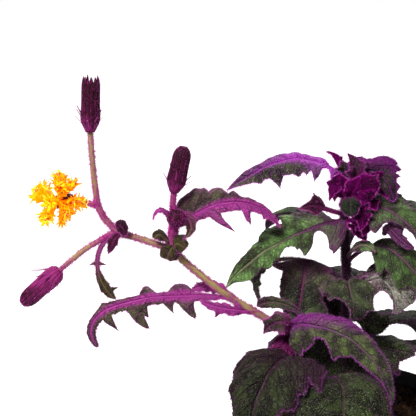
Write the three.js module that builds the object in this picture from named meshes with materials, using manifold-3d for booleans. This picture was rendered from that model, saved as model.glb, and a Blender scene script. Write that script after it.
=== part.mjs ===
// A purple passion plant in a round nursery pot, in millimetres, +Z up.
// The origin is the centre of the pot's base, on the ground. +X is to the right
// and +Y away from the viewer.
import * as THREE from "three";
import { mergeVertices } from "three/addons/utils/BufferGeometryUtils.js";
import Module from "manifold-3d";

const wasm = await Module();
wasm.setup();

// Driving dimensions of the pot and its soil
const POT = {
  height: 80,
  rimRadius: 46,
  baseRadius: 31.5,
  wall: 1.6,
  floor: 2,
  bandHeight: 11,
  bandStep: 1.6,
  bead: 1.2,
  footBevel: 1,
  drainHoles: 6,
  drainRadius: 3.5,
  drainCircle: 22,
  drainSides: 10,
  sides: 36,
};
const SOIL = { top: 73, crown: 1.6, rings: 2 };
const GAP = 0.3;

// Driving dimensions of the plant
const STEM_RADIUS = { main: 1.8, side: 1.6, flowering: 1.4, peduncle: 0.9 };
const LEAF_THICKNESS = 0.8;
const STALK_RADIUS = 1.0;
const TIP_HALF_WIDTH = 0.25;
const EDGE_THINNING = 0.6;
const STALK_FADE = { start: 1.3, shortest: 0.05 };
const STEM_SIDES = 8;
const STALK_SIDES = 6;
const STEM_STEPS = { main: 10, side: 5, flowering: 20, shoot: 3, stalk: 4 };
const BUD = { radius: 3.5, length: 22, sides: 12 };
const FLOWER = { radius: 12, cupRadius: 3.4, cupLength: 10, florets: 20, spread: 95, seat: 1.3 };
const FLORET = { foot: 0.5, mouth: 1.8, sides: 4, inset: 1.2, short: 1 };
const DISC_SIDES = 10;

// Outlines of a bud and of the flower's cup, as shares of their radius and length
const BUD_PROFILE = [[0, 0], [0.4, 0], [0.9, 0.18], [1, 0.35], [0.98, 0.8], [0.75, 0.96], [0, 1]];
const CUP_PROFILE = [[0, 0], [0.4, 0], [1, 0.25], [0.9, 1], [0, 1]];
// Outline of the disc that the florets stand on
const DISC_PROFILE = [[0, 0], [2.6, 0], [2.2, 2.4], [0, 3]];

const COLOURS = {
  plastic: "#1c1c1e",
  peat: "#2a1c14",
  leafGreen: "#3f5a30",
  stemPurple: "#4a1044",
  stemOlive: "#8a8a45",
  budMaroon: "#3a0f2e",
  petalOrange: "#f59a10",
};

const plant = new THREE.Group();

function vector([x, y, z]) {
  return new THREE.Vector3(x, y, z);
}

function addMesh(name, solid, colour, roughness = 0.75) {
  const { numProp, vertProperties, triVerts } = solid.getMesh();
  const geometry = new THREE.BufferGeometry();
  const positions = new THREE.InterleavedBufferAttribute(
    new THREE.InterleavedBuffer(vertProperties, numProp), 3, 0);
  geometry.setAttribute("position", positions);
  geometry.setIndex(new THREE.BufferAttribute(triVerts, 1));
  geometry.computeVertexNormals();
  const material = new THREE.MeshStandardMaterial({ color: colour, roughness, metalness: 0 });
  const mesh = new THREE.Mesh(geometry, material);
  mesh.name = name;
  plant.add(mesh);
}

// Joins and cuts
function toSolid(geometry) {
  const bare = geometry.clone();
  bare.deleteAttribute("normal");
  bare.deleteAttribute("uv");
  const merged = mergeVertices(bare, 1e-4);
  return new wasm.Manifold(new wasm.Mesh({
    numProp: 3,
    vertProperties: new Float32Array(merged.attributes.position.array),
    triVerts: new Uint32Array(merged.index.array),
  }));
}

function joined(solids) {
  return solids.reduce((whole, next) => whole.add(next));
}

function largestPiece(solid) {
  return solid.decompose().reduce((best, next) => (next.volume() > best.volume() ? next : best));
}

// Round bars along the plant's branches
function tube(points, radius, steps, sides) {
  const outline = new THREE.Shape();
  outline.absarc(0, 0, radius, 0, 2 * Math.PI);
  const path = new THREE.CatmullRomCurve3(points.map(vector), false, "centripetal");
  const bar = new THREE.ExtrudeGeometry(outline, {
    steps,
    curveSegments: sides,
    bevelEnabled: false,
    extrudePath: path,
  });
  return toSolid(bar);
}

// A turned body whose axis runs from one point towards another
function turned(profile, sides, from = [0, 0, 0], towards = [0, 0, 1]) {
  const outline = profile.map(([radius, height]) => new THREE.Vector2(radius, height));
  const body = new THREE.LatheGeometry(outline, sides);
  const axis = vector(towards).sub(vector(from)).normalize();
  const turn = new THREE.Quaternion().setFromUnitVectors(new THREE.Vector3(0, 1, 0), axis);
  body.applyQuaternion(turn);
  body.translate(...from);
  return toSolid(body);
}

// Pot: a tapered cup with a stepped band, a rolled bead at the rim and drain holes in its floor
function outerRadius(z) {
  const bandStart = POT.height - POT.bandHeight;
  const bodyRadius = POT.rimRadius - POT.bead - POT.bandStep;
  return POT.baseRadius + (bodyRadius - POT.baseRadius) * Math.min(z / bandStart, 1);
}

function innerRadius(z) {
  return outerRadius(z) - POT.wall;
}

function makePot() {
  const { height, wall, floor, bandHeight, bandStep, bead, footBevel } = POT;
  const bandStart = height - bandHeight;
  const bandRadius = outerRadius(bandStart) + bandStep;
  const profile = [
    [0, 0],
    [POT.baseRadius - footBevel, 0],
    [POT.baseRadius, footBevel],
    [outerRadius(bandStart), bandStart],
    [bandRadius, bandStart],
    [bandRadius, height - 2 * bead],
    [bandRadius + bead, height - 1.5 * bead],
    [bandRadius + bead, height - 0.5 * bead],
    [bandRadius + 0.4 * bead, height],
    [bandRadius - 0.4 * bead, height],
    [bandRadius - wall, height - bead],
    [bandRadius - wall, bandStart + wall],
    [innerRadius(bandStart), bandStart],
    [innerRadius(floor), floor],
    [0, floor],
  ];
  const cup = turned(profile, POT.sides);
  const drain = [[0, -floor], [POT.drainRadius, -floor], [POT.drainRadius, 2 * floor], [0, 2 * floor]];
  const drains = [];
  for (let i = 0; i < POT.drainHoles; i += 1) {
    const angle = (2 * Math.PI * i) / POT.drainHoles;
    const x = POT.drainCircle * Math.cos(angle);
    const y = POT.drainCircle * Math.sin(angle);
    drains.push(turned(drain, POT.drainSides, [x, y, 0], [x, y, 1]));
  }
  return cup.subtract(joined(drains));
}

// Soil: fills the cup to below the rim, slightly crowned
function makeSoil(stemHoles) {
  const bottom = POT.floor + GAP;
  const shoulder = POT.height - POT.bandHeight;
  const topRadius = innerRadius(shoulder) + POT.bandStep - GAP;
  const profile = [
    [0, bottom],
    [innerRadius(bottom) - GAP, bottom],
    [innerRadius(shoulder) - GAP, shoulder - GAP],
    [innerRadius(shoulder) - GAP, SOIL.top - SOIL.crown],
  ];
  for (let i = SOIL.rings; i > 0; i -= 1) {
    const share = i / (SOIL.rings + 1);
    profile.push([topRadius * share - 1, SOIL.top - SOIL.crown * share * share]);
  }
  profile.push([0, SOIL.top]);
  return turned(profile, POT.sides).subtract(joined(stemHoles));
}

// Leaves: a flat outline of lobes and teeth, bent along a midrib through four points.
// face gives the way that the upper side looks at the base and at the tip.
// Each lobe is [place along the midrib, reach, half-span along the midrib].
const LEAF_DEFAULTS = {
  stalk: 0.15,
  halfWidth: 7,
  widest: 0.42,
  blunt: 0.8,
  curl: 40,
  fold: 12,
  ruffle: 0,
  waves: 3,
  sweep: 0.35,
  sharp: 1.2,
  left: [],
  right: [],
  columns: 8,
};
const ROWS = [-1, -0.5, 0, 0.5, 1];
const COLUMN_SPACING = 0.03;

function throughFour([a, b, c, d], t) {
  const third = 1 / 3;
  const weightA = ((t - third) * (t - 2 * third) * (t - 1)) / (-third * 2 * third);
  const weightB = (t * (t - 2 * third) * (t - 1)) / (third * third * 2 * third);
  const weightC = (t * (t - third) * (t - 1)) / (2 * third * third * -third);
  const weightD = (t * (t - third) * (t - 2 * third)) / (2 * third * third);
  return a.clone().multiplyScalar(weightA).addScaledVector(b, weightB)
    .addScaledVector(c, weightC).addScaledVector(d, weightD);
}

function leafFrame(leaf, t) {
  const points = leaf.midrib.map(vector);
  const step = 1e-3;
  const origin = throughFour(points, t);
  const along = throughFour(points, t + step).sub(throughFour(points, t - step)).normalize();
  const facing = vector(leaf.face[0]).lerp(vector(leaf.face[1]), THREE.MathUtils.clamp(t, 0, 1));
  const up = facing.addScaledVector(along, -facing.dot(along)).normalize();
  const across = along.clone().cross(up);
  return { origin, along, up, across };
}

function midribLength(leaf) {
  const points = leaf.midrib.map(vector);
  const steps = 24;
  let length = 0;
  for (let i = 0; i < steps; i += 1) {
    length += throughFour(points, i / steps).distanceTo(throughFour(points, (i + 1) / steps));
  }
  return length;
}

function halfWidthAt(leaf, t, lobes) {
  const along = THREE.MathUtils.clamp((t - leaf.stalk) / (1 - leaf.stalk), 0, 1);
  const bend = Math.log(0.5) / Math.log(leaf.widest);
  const blade = leaf.halfWidth * Math.sin(Math.PI * along ** bend) ** leaf.blunt;
  const stalk = STALK_RADIUS + (TIP_HALF_WIDTH - STALK_RADIUS) * along;
  let width = Math.max(blade, stalk);
  for (const [place, reach, span] of lobes) {
    const away = Math.abs(t - place) / span;
    width += reach * Math.max(0, 1 - away ** leaf.sharp);
  }
  return width;
}

// Places for the outline's points: the lobes' tips first, then their feet, then the rest
function leafColumns(leaf) {
  const lobes = [...leaf.left, ...leaf.right];
  const tips = lobes.map(([place]) => place);
  const feet = lobes.flatMap(([place, , span]) => [place - span, place + span]);
  const rest = Array.from({ length: leaf.columns }, (_, i) => leaf.stalk + ((1 - leaf.stalk) * i) / leaf.columns);
  const kept = [0, 1];
  for (const t of [...tips, ...feet, ...rest]) {
    const apart = kept.every((other) => Math.abs(other - t) > COLUMN_SPACING);
    if (apart && t > 0 && t < 1) kept.push(t);
  }
  return kept.sort((a, b) => a - b);
}

function leafPoint(leaf, length, t, row, extra) {
  const side = row < 0 ? leaf.left : leaf.right;
  const width = halfWidthAt(leaf, t, side);
  const reach = (width + extra) * Math.abs(row);
  const { origin, along, up, across } = leafFrame(leaf, t + (leaf.sweep * reach) / length);
  const bend = (leaf.curl * Math.PI) / 180 / Math.max(leaf.halfWidth, width);
  const fold = (leaf.fold * Math.PI) / 180;
  const sideways = (Math.sin(fold) - Math.sin(fold - bend * reach)) / bend;
  const wave = Math.sin(2 * Math.PI * leaf.waves * t + Math.sign(row)) * (reach / leaf.halfWidth) ** 2;
  const lift = (Math.cos(fold - bend * reach) - Math.cos(fold)) / bend + leaf.ruffle * wave;
  const place = origin.addScaledVector(across, Math.sign(row) * sideways).addScaledVector(up, lift);
  return { place, along, up };
}

function leafSolid(leaf, extra = 0) {
  const length = midribLength(leaf);
  const columns = leafColumns(leaf);
  const upper = [];
  const lower = [];
  for (const column of columns) {
    const t = column + ((2 * column - 1) * extra) / length;
    const fade = t / Math.max(leaf.stalk, STALK_FADE.shortest);
    const stalkness = THREE.MathUtils.clamp(STALK_FADE.start - fade, 0, 1);
    for (const row of ROWS) {
      const { place, up } = leafPoint(leaf, length, t, row, extra);
      const round = 1 - EDGE_THINNING * Math.abs(row);
      const thickness = LEAF_THICKNESS + (2 * STALK_RADIUS * round - LEAF_THICKNESS) * stalkness;
      const rise = thickness / 2 + extra;
      upper.push(place.clone().addScaledVector(up, rise));
      lower.push(place.clone().addScaledVector(up, -rise));
    }
  }
  return shellBetween(upper, lower, columns.length, ROWS.length);
}

// A closed solid between two grids of points that share their layout
function shellBetween(upper, lower, columns, rows) {
  const positions = [...upper, ...lower].flatMap((point) => point.toArray());
  const triangles = [];
  const top = (i, j) => i * rows + j;
  const bottom = (i, j) => columns * rows + i * rows + j;
  const quad = (a, b, c, d) => triangles.push(a, b, c, a, c, d);
  for (let i = 0; i < columns - 1; i += 1) {
    for (let j = 0; j < rows - 1; j += 1) {
      quad(top(i, j), top(i, j + 1), top(i + 1, j + 1), top(i + 1, j));
      quad(bottom(i, j), bottom(i + 1, j), bottom(i + 1, j + 1), bottom(i, j + 1));
    }
    quad(top(i, 0), top(i + 1, 0), bottom(i + 1, 0), bottom(i, 0));
    quad(top(i + 1, rows - 1), top(i, rows - 1), bottom(i, rows - 1), bottom(i + 1, rows - 1));
  }
  const last = columns - 1;
  for (let j = 0; j < rows - 1; j += 1) {
    quad(top(0, j + 1), top(0, j), bottom(0, j), bottom(0, j + 1));
    quad(top(last, j), top(last, j + 1), bottom(last, j + 1), bottom(last, j));
  }
  return new wasm.Manifold(new wasm.Mesh({
    numProp: 3,
    vertProperties: new Float32Array(positions),
    triVerts: new Uint32Array(triangles),
  }));
}

// Stems: one upright, one leaning to the flowers and one at the back
const mainStem = [[-0.5, 2, 58], [-1, 2, 106], [-1, 1, 132], [-2.5, 0, 162.5], [-2, 0, 178]];
const sideStem = [[12, 20, 58], [12, 19, 90], [11, 17, 112], [9, 16, 126]];
const floweringStem = [
  [-15, -10, 58], [-20, -13, 100], [-26.5, -15, 114], [-35.5, -16, 121.5], [-53, -17, 133],
  [-67.5, -17, 145], [-75.5, -17, 152], [-86, -16.5, 156], [-96.5, -16, 159.5],
  [-102.5, -15.5, 165], [-105.5, -15, 170.5],
];
const topBudStalk = [[-105.5, -15, 170.5], [-107, -15, 185.5], [-108, -15, 201.5]];
const lowBudStalk = [[-97, -16, 160.2], [-110.5, -17, 152.5], [-121.5, -18, 143.5]];
const budShoot = [[-74.5, -17, 151], [-74.5, -17.5, 158.5], [-73.5, -19, 166.5]];
const middleBudStalk = [[-74, -18, 163], [-74.5, -16.5, 170], [-74, -16, 176.5]];
const flowerStalk = [[-105.5, -15, 170.5], [-109, -11, 170], [-114, -7, 169]];

// A route carried on past both of its ends
function lengthened(route, extra) {
  const past = (end, before) => {
    const along = vector(end).sub(vector(before)).normalize();
    return vector(end).addScaledVector(along, extra).toArray();
  };
  return [past(route[0], route[1]), ...route.slice(1, -1), past(route.at(-1), route.at(-2))];
}

// The three stems, or with extra the room to leave around them
function makeStems(extra) {
  const { main, side, flowering, peduncle } = STEM_RADIUS;
  const bar = (route, radius, steps, sides) =>
    tube(lengthened(route, extra), radius + extra, steps, sides);
  const stalks = [topBudStalk, lowBudStalk, middleBudStalk, flowerStalk];
  return {
    main_stem: bar(mainStem, main, STEM_STEPS.main, STEM_SIDES),
    side_stem: bar(sideStem, side, STEM_STEPS.side, STEM_SIDES),
    flowering_stem: joined([
      bar(floweringStem, flowering, STEM_STEPS.flowering, STALK_SIDES),
      bar(budShoot, flowering, STEM_STEPS.shoot, STALK_SIDES),
      ...stalks.map((route) => bar(route, peduncle, STEM_STEPS.stalk, STALK_SIDES)),
    ]),
  };
}

const crownLeaves = {
  crown_leaf_left: {
    midrib: [[-3, 0, 178], [-17.5, -3, 186.5], [-33.5, -5, 184.5], [-52, -7, 175]],
    face: [[0, -0.3, 1], [-0.6, -0.5, 0.5]],
    halfWidth: 8.5,
    curl: 65,
    sweep: -0.15,
    left: [[0.25, 5, 0.06], [0.6, 4.5, 0.06], [0.13, 2, 0.05], [0.78, 1.5, 0.05]],
    right: [[0.4, 2, 0.1]],
  },
  crown_leaf_right: {
    midrib: [[-1, 1, 176], [7.5, -0.5, 183.5], [15, -3.5, 181.5], [17.5, -7, 170.5]],
    face: [[0.1, -0.5, 0.9], [0.6, -0.9, 0.2]],
    stalk: 0.05,
    halfWidth: 8,
    curl: 55,
    left: [[0.5, 2, 0.08], [0.72, 3, 0.07]],
    right: [[0.6, 2, 0.08]],
  },
  young_leaf_spiky: {
    midrib: [[-2, 2, 174], [-4.5, 4, 181], [-7, 5, 186], [-10, 5, 188.5]],
    face: [[-0.3, -1, 0.3], [-0.3, -1, 0.3]],
    halfWidth: 1.5,
    columns: 5,
  },
  young_leaf_upright: {
    midrib: [[-1.5, 0, 172], [1.5, -3, 178], [1.5, -4, 184.5], [-2, -5, 189]],
    face: [[0.3, -1, 0], [0.3, -1, 0]],
    halfWidth: 4,
    fold: 35,
    columns: 6,
  },
  young_leaf_broad: {
    midrib: [[-1.5, 0, 169.5], [2, -7.5, 173.5], [5.5, -10.5, 176], [9.5, -11.5, 175.5]],
    face: [[0, -1, 0.3], [0, -1, 0.3]],
    halfWidth: 5.5,
    blunt: 0.6,
    columns: 6,
    right: [[0.6, 1.5, 0.08]],
  },
  young_leaf_inner: {
    midrib: [[-2, -1, 170], [-4.5, -5.5, 173], [-5.5, -6, 177], [-5.5, -5.5, 181.5]],
    face: [[-0.2, -1, 0.1], [-0.2, -1, 0.1]],
    halfWidth: 3,
    columns: 6,
  },
  young_leaf_left: {
    midrib: [[-2, 1, 170], [-6, 4, 173], [-8, 5, 171], [-8.5, 6, 166.5]],
    face: [[-0.3, -0.4, 1], [-1, -0.5, 0]],
    halfWidth: 3,
    columns: 6,
  },
  young_leaf_back: {
    midrib: [[-1.5, 1.5, 170], [1, 7.5, 178], [4, 13, 181], [6, 19, 176]],
    face: [[0, 0.7, 0.7], [0.2, 1, 0.1]],
    halfWidth: 5,
    columns: 6,
  },
  young_leaf_green: {
    midrib: [[-1.5, 0, 166], [-1.5, -11, 172], [-1.5, -16, 171], [-1.5, -17, 166]],
    face: [[0, -0.4, 1], [0, -1, 0.1]],
    halfWidth: 4.5,
    blunt: 0.55,
    columns: 6,
  },
  ruffled_leaf_upper: {
    midrib: [[-2, 0, 162.5], [3, -8, 165.5], [6, -14, 164.5], [6.5, -15.5, 159.5]],
    face: [[0, -0.7, 0.7], [0.3, -1, 0.1]],
    halfWidth: 4,
    ruffle: 0.8,
    columns: 7,
  },
  ruffled_leaf_lower: {
    midrib: [[-2, 0, 156.5], [4, -6, 160], [7, -11, 157], [4.5, -12, 152]],
    face: [[0, -0.7, 0.7], [0.3, -1, -0.2]],
    halfWidth: 3.6,
    ruffle: 0.8,
    columns: 7,
  },
};

const upperLeaves = {
  upper_leaf_right: {
    midrib: [[-1.5, 0, 165], [11, -6, 167.5], [23, -12, 161.5], [33.5, -13, 145.5]],
    face: [[0, -0.7, 0.8], [0.5, -0.8, 0.4]],
    stalk: 0.1,
    halfWidth: 9,
    sweep: 0.2,
    left: [[0.35, 2, 0.12], [0.66, 3, 0.08]],
    right: [[0.36, 5, 0.12], [0.66, 4, 0.1]],
  },
  shaded_leaf_upper: {
    midrib: [[-1.5, 1, 165], [5.5, 8, 171], [12, 13, 170.5], [20, 15, 167]],
    face: [[0, -0.6, 0.8], [0.3, -0.8, 0.4]],
    halfWidth: 4,
    columns: 6,
  },
  green_leaf_left: {
    midrib: [[-2, 0, 160.5], [-18.5, -10, 158.5], [-36.5, -16, 151], [-52.5, -18, 136]],
    face: [[0, -0.7, 0.7], [-0.4, -0.8, 0.5]],
    stalk: 0.05,
    halfWidth: 6,
    widest: 0.5,
    sharp: 1.6,
    sweep: 0.15,
    left: [[0.06, 3, 0.04], [0.17, 12, 0.08], [0.41, 8, 0.09], [0.66, 2, 0.05]],
    right: [[0.16, 7, 0.08], [0.4, 8, 0.14], [0.72, 1.5, 0.12]],
  },
  curled_leaf_left: {
    midrib: [[-2, 1, 163], [-9, 5, 163.5], [-15, 7, 165.5], [-21.5, 7, 162.5]],
    face: [[0, -0.6, 0.8], [-0.3, -0.8, 0.6]],
    stalk: 0.4,
    halfWidth: 2.8,
    fold: 40,
    columns: 6,
    right: [[0.6, 2.5, 0.1]],
  },
  lower_leaf_right: {
    midrib: [[-1, 0, 141.5], [11.5, -5, 150], [22.5, -11, 145], [34, -13, 131]],
    face: [[0, -0.5, 0.9], [0.5, -0.8, 0.4]],
    stalk: 0.25,
    halfWidth: 9,
    left: [[0.4, 4, 0.07], [0.65, 3, 0.08]],
    right: [[0.4, 4, 0.1], [0.66, 3, 0.1]],
  },
  lower_leaf_lobe: {
    midrib: [[-1, 0, 143.5], [2, -6, 150], [6, -9, 151.5], [10, -10.5, 149]],
    face: [[0, -0.7, 0.7], [0, -0.8, 0.5]],
    halfWidth: 2.6,
    columns: 6,
  },
  frosted_leaf_right: {
    midrib: [[-1, 0, 127.5], [8.5, -7, 134.5], [16.5, -15, 135], [19, -17, 123.5]],
    face: [[0, -0.5, 0.9], [0.4, -0.9, 0.1]],
    stalk: 0.25,
    halfWidth: 6.5,
    ruffle: 1.2,
    left: [[0.5, 2, 0.08], [0.75, 2.5, 0.07]],
    right: [[0.62, 2, 0.08]],
  },
  frosted_leaf_outer: {
    midrib: [[-1, 1, 131.5], [13, 0, 138], [26, -7, 138], [34, -10, 124]],
    face: [[0, -0.4, 1], [0.6, -0.8, 0.3]],
    stalk: 0.2,
    halfWidth: 7,
    ruffle: 1.2,
    left: [[0.5, 2.5, 0.08], [0.75, 2.5, 0.07]],
    right: [[0.62, 2.5, 0.08]],
  },
  crescent_leaf: {
    midrib: [[-1, 1, 127], [-17, 7, 141.5], [-32.5, 7, 144.5], [-39, 2, 121.5]],
    face: [[0, -0.5, 0.9], [-0.9, -0.2, 0.2]],
    stalk: 0.2,
    halfWidth: 4,
    widest: 0.6,
    right: [[0.8, 1.5, 0.05]],
  },
};

const lowerLeaves = {
  centre_leaf: {
    midrib: [[-25.5, -13, 112], [-22, -10, 123], [-20.5, -8, 134.5], [-18.5, 1, 143]],
    face: [[0, -1, 0.2], [0, -0.5, 1]],
    stalk: 0.1,
    halfWidth: 10,
    widest: 0.55,
    blunt: 0.6,
    curl: 30,
    left: [[0.16, 10, 0.14], [0.72, 7, 0.12]],
    right: [[0.35, 4, 0.12], [0.7, 6, 0.12]],
  },
  centre_leaf_right: {
    midrib: [[-1, 0, 129], [-1.5, -10, 136.5], [-0.5, -18, 133.5], [0.5, -20, 121.5]],
    face: [[0, -0.3, 1], [0.1, -1, 0.1]],
    halfWidth: 9,
    blunt: 0.6,
    ruffle: 1,
    left: [[0.5, 2, 0.08], [0.8, 2, 0.07]],
    right: [[0.35, 3, 0.1]],
  },
  shaded_leaf_left: {
    midrib: [[-1, 2, 110.5], [-4, 7, 114.5], [-7, 9, 119], [-10, 9, 123]],
    face: [[0, -0.8, 0.5], [0, -0.9, 0.3]],
    halfWidth: 7,
    columns: 6,
  },
  shaded_leaf_right: {
    midrib: [[-1, 2, 113], [6, 8, 115], [12, 10.5, 112.5], [17, 11, 108]],
    face: [[0, -0.8, 0.5], [0.3, -0.9, 0.3]],
    halfWidth: 7.5,
    blunt: 0.5,
    columns: 7,
    left: [[0.7, 2.5, 0.08]],
  },
  shaded_leaf_low: {
    midrib: [[-0.8, 2, 94], [-1, -8, 102.5], [-2, -15, 101.5], [-3.5, -19, 88]],
    face: [[0, -0.5, 0.9], [0, -1, 0.1]],
    halfWidth: 9,
    blunt: 0.55,
    left: [[0.6, 3, 0.12]],
    right: [[0.6, 3, 0.12]],
  },
  node_leaf: {
    midrib: [[-26, -15, 115], [-28.5, -21, 124], [-32.5, -24, 125], [-37, -25, 118.5]],
    face: [[0, -0.7, 0.8], [-0.4, -0.9, 0.2]],
    halfWidth: 4,
    columns: 6,
    left: [[0.55, 1.5, 0.1]],
    right: [[0.6, 2, 0.1]],
  },
  node_leaf_lower: {
    midrib: [[-24, -15, 108], [-28.5, -20, 113], [-32, -22, 114], [-35, -23, 112.5]],
    face: [[0, -0.8, 0.6], [-0.3, -1, 0.1]],
    halfWidth: 3,
    columns: 6,
  },
  front_leaf: {
    midrib: [[-25, -16, 111], [-12, -30, 122.5], [4, -39, 116], [15, -40, 92.5]],
    face: [[0, -0.6, 0.8], [0.7, -0.8, 0.2]],
    stalk: 0.04,
    halfWidth: 8.5,
    widest: 0.34,
    blunt: 0.7,
    sweep: 0.15,
    left: [[0.5, 2, 0.1]],
    right: [[0.18, 8, 0.08], [0.47, 5.5, 0.09], [0.7, 2.5, 0.06]],
  },
  base_leaf_left: {
    midrib: [[-19.5, -13, 98], [-27, -28, 109], [-36, -42, 106], [-43, -52, 87]],
    face: [[-0.2, -0.6, 0.9], [-0.6, -0.8, 0.2]],
    stalk: 0.12,
    halfWidth: 16,
    blunt: 0.45,
    left: [[0.5, 2, 0.08], [0.7, 2, 0.08]],
    right: [[0.5, 2, 0.08], [0.7, 2, 0.08]],
  },
  base_leaf_front: {
    midrib: [[-17, -11, 88], [-6.5, -36, 102], [-5.5, -54, 98], [-6, -63, 78]],
    face: [[0, -0.6, 0.9], [0, -1, 0.3]],
    stalk: 0.3,
    halfWidth: 19,
    widest: 0.35,
    blunt: 0.42,
    left: [[0.6, 2, 0.08], [0.8, 2, 0.07]],
    right: [[0.6, 2, 0.08], [0.8, 2, 0.07]],
  },
  base_leaf_right: {
    midrib: [[-1, 2, 101], [13, -1, 105], [25, -5, 104.5], [40, -9, 103]],
    face: [[0, -0.5, 0.9], [0.2, -0.7, 0.7]],
    stalk: 0.15,
    halfWidth: 8.5,
    left: [[0.5, 1.5, 0.08]],
    right: [[0.4, 3.5, 0.1], [0.66, 3.5, 0.08]],
  },
};

const backLeaves = {
  right_leaf_upper: {
    midrib: [[-1, 1, 152], [16, 10, 163], [38, 18, 160], [54, 24, 143]],
    face: [[0, 0, 1], [0.7, 0.3, 0.4]],
    halfWidth: 9,
    left: [[0.4, 4, 0.08], [0.65, 3, 0.08]],
    right: [[0.45, 4, 0.08], [0.7, 3, 0.08]],
  },
  right_leaf_lower: {
    midrib: [[11.5, 18.5, 92], [28, 16, 99], [46, 12, 96], [60, 8, 82]],
    face: [[0, 0, 1], [0.8, 0, 0.4]],
    halfWidth: 11,
    blunt: 0.6,
    left: [[0.45, 3, 0.08], [0.7, 2, 0.08]],
    right: [[0.5, 3, 0.08], [0.72, 2, 0.08]],
  },
  back_leaf_upper_right: {
    midrib: [[-1, 1, 148], [8, 14, 158], [18, 30, 156], [26, 44, 140]],
    face: [[0, 0.1, 1], [0.4, 0.8, 0.4]],
    halfWidth: 8.5,
    left: [[0.4, 4, 0.08], [0.65, 3, 0.08]],
    right: [[0.42, 4, 0.08], [0.7, 3, 0.08]],
  },
  back_leaf_upper_left: {
    midrib: [[-2, 1, 150], [-13, 14, 158], [-24, 27, 157], [-34, 40, 145]],
    face: [[0, 0.1, 1], [-0.5, 0.8, 0.4]],
    halfWidth: 8.5,
    left: [[0.42, 4, 0.08], [0.68, 3, 0.08]],
    right: [[0.4, 4, 0.08], [0.65, 3, 0.08]],
  },
  back_leaf_middle: {
    midrib: [[9.5, 16, 118], [4, 30, 127], [0, 44, 124], [-3, 58, 108]],
    face: [[0, 0, 1], [0, 0.9, 0.4]],
    halfWidth: 9.5,
    left: [[0.42, 4, 0.08], [0.68, 3, 0.08]],
    right: [[0.4, 4, 0.08], [0.65, 3, 0.08]],
  },
  back_leaf_low_left: {
    midrib: [[11.5, 17.5, 98], [-6, 32, 107], [-22, 46, 101], [-34, 58, 84]],
    face: [[0, 0, 1], [-0.5, 0.7, 0.5]],
    halfWidth: 12,
    blunt: 0.6,
    left: [[0.45, 3, 0.08], [0.7, 2, 0.08]],
    right: [[0.45, 3, 0.08], [0.7, 2, 0.08]],
  },
  back_leaf_low_right: {
    midrib: [[11.5, 18, 100], [22, 32, 107], [34, 46, 102], [44, 58, 84]],
    face: [[0, 0, 1], [0.5, 0.7, 0.5]],
    halfWidth: 12,
    blunt: 0.6,
    left: [[0.45, 3, 0.08], [0.7, 2, 0.08]],
    right: [[0.45, 3, 0.08], [0.7, 2, 0.08]],
  },
};

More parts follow.
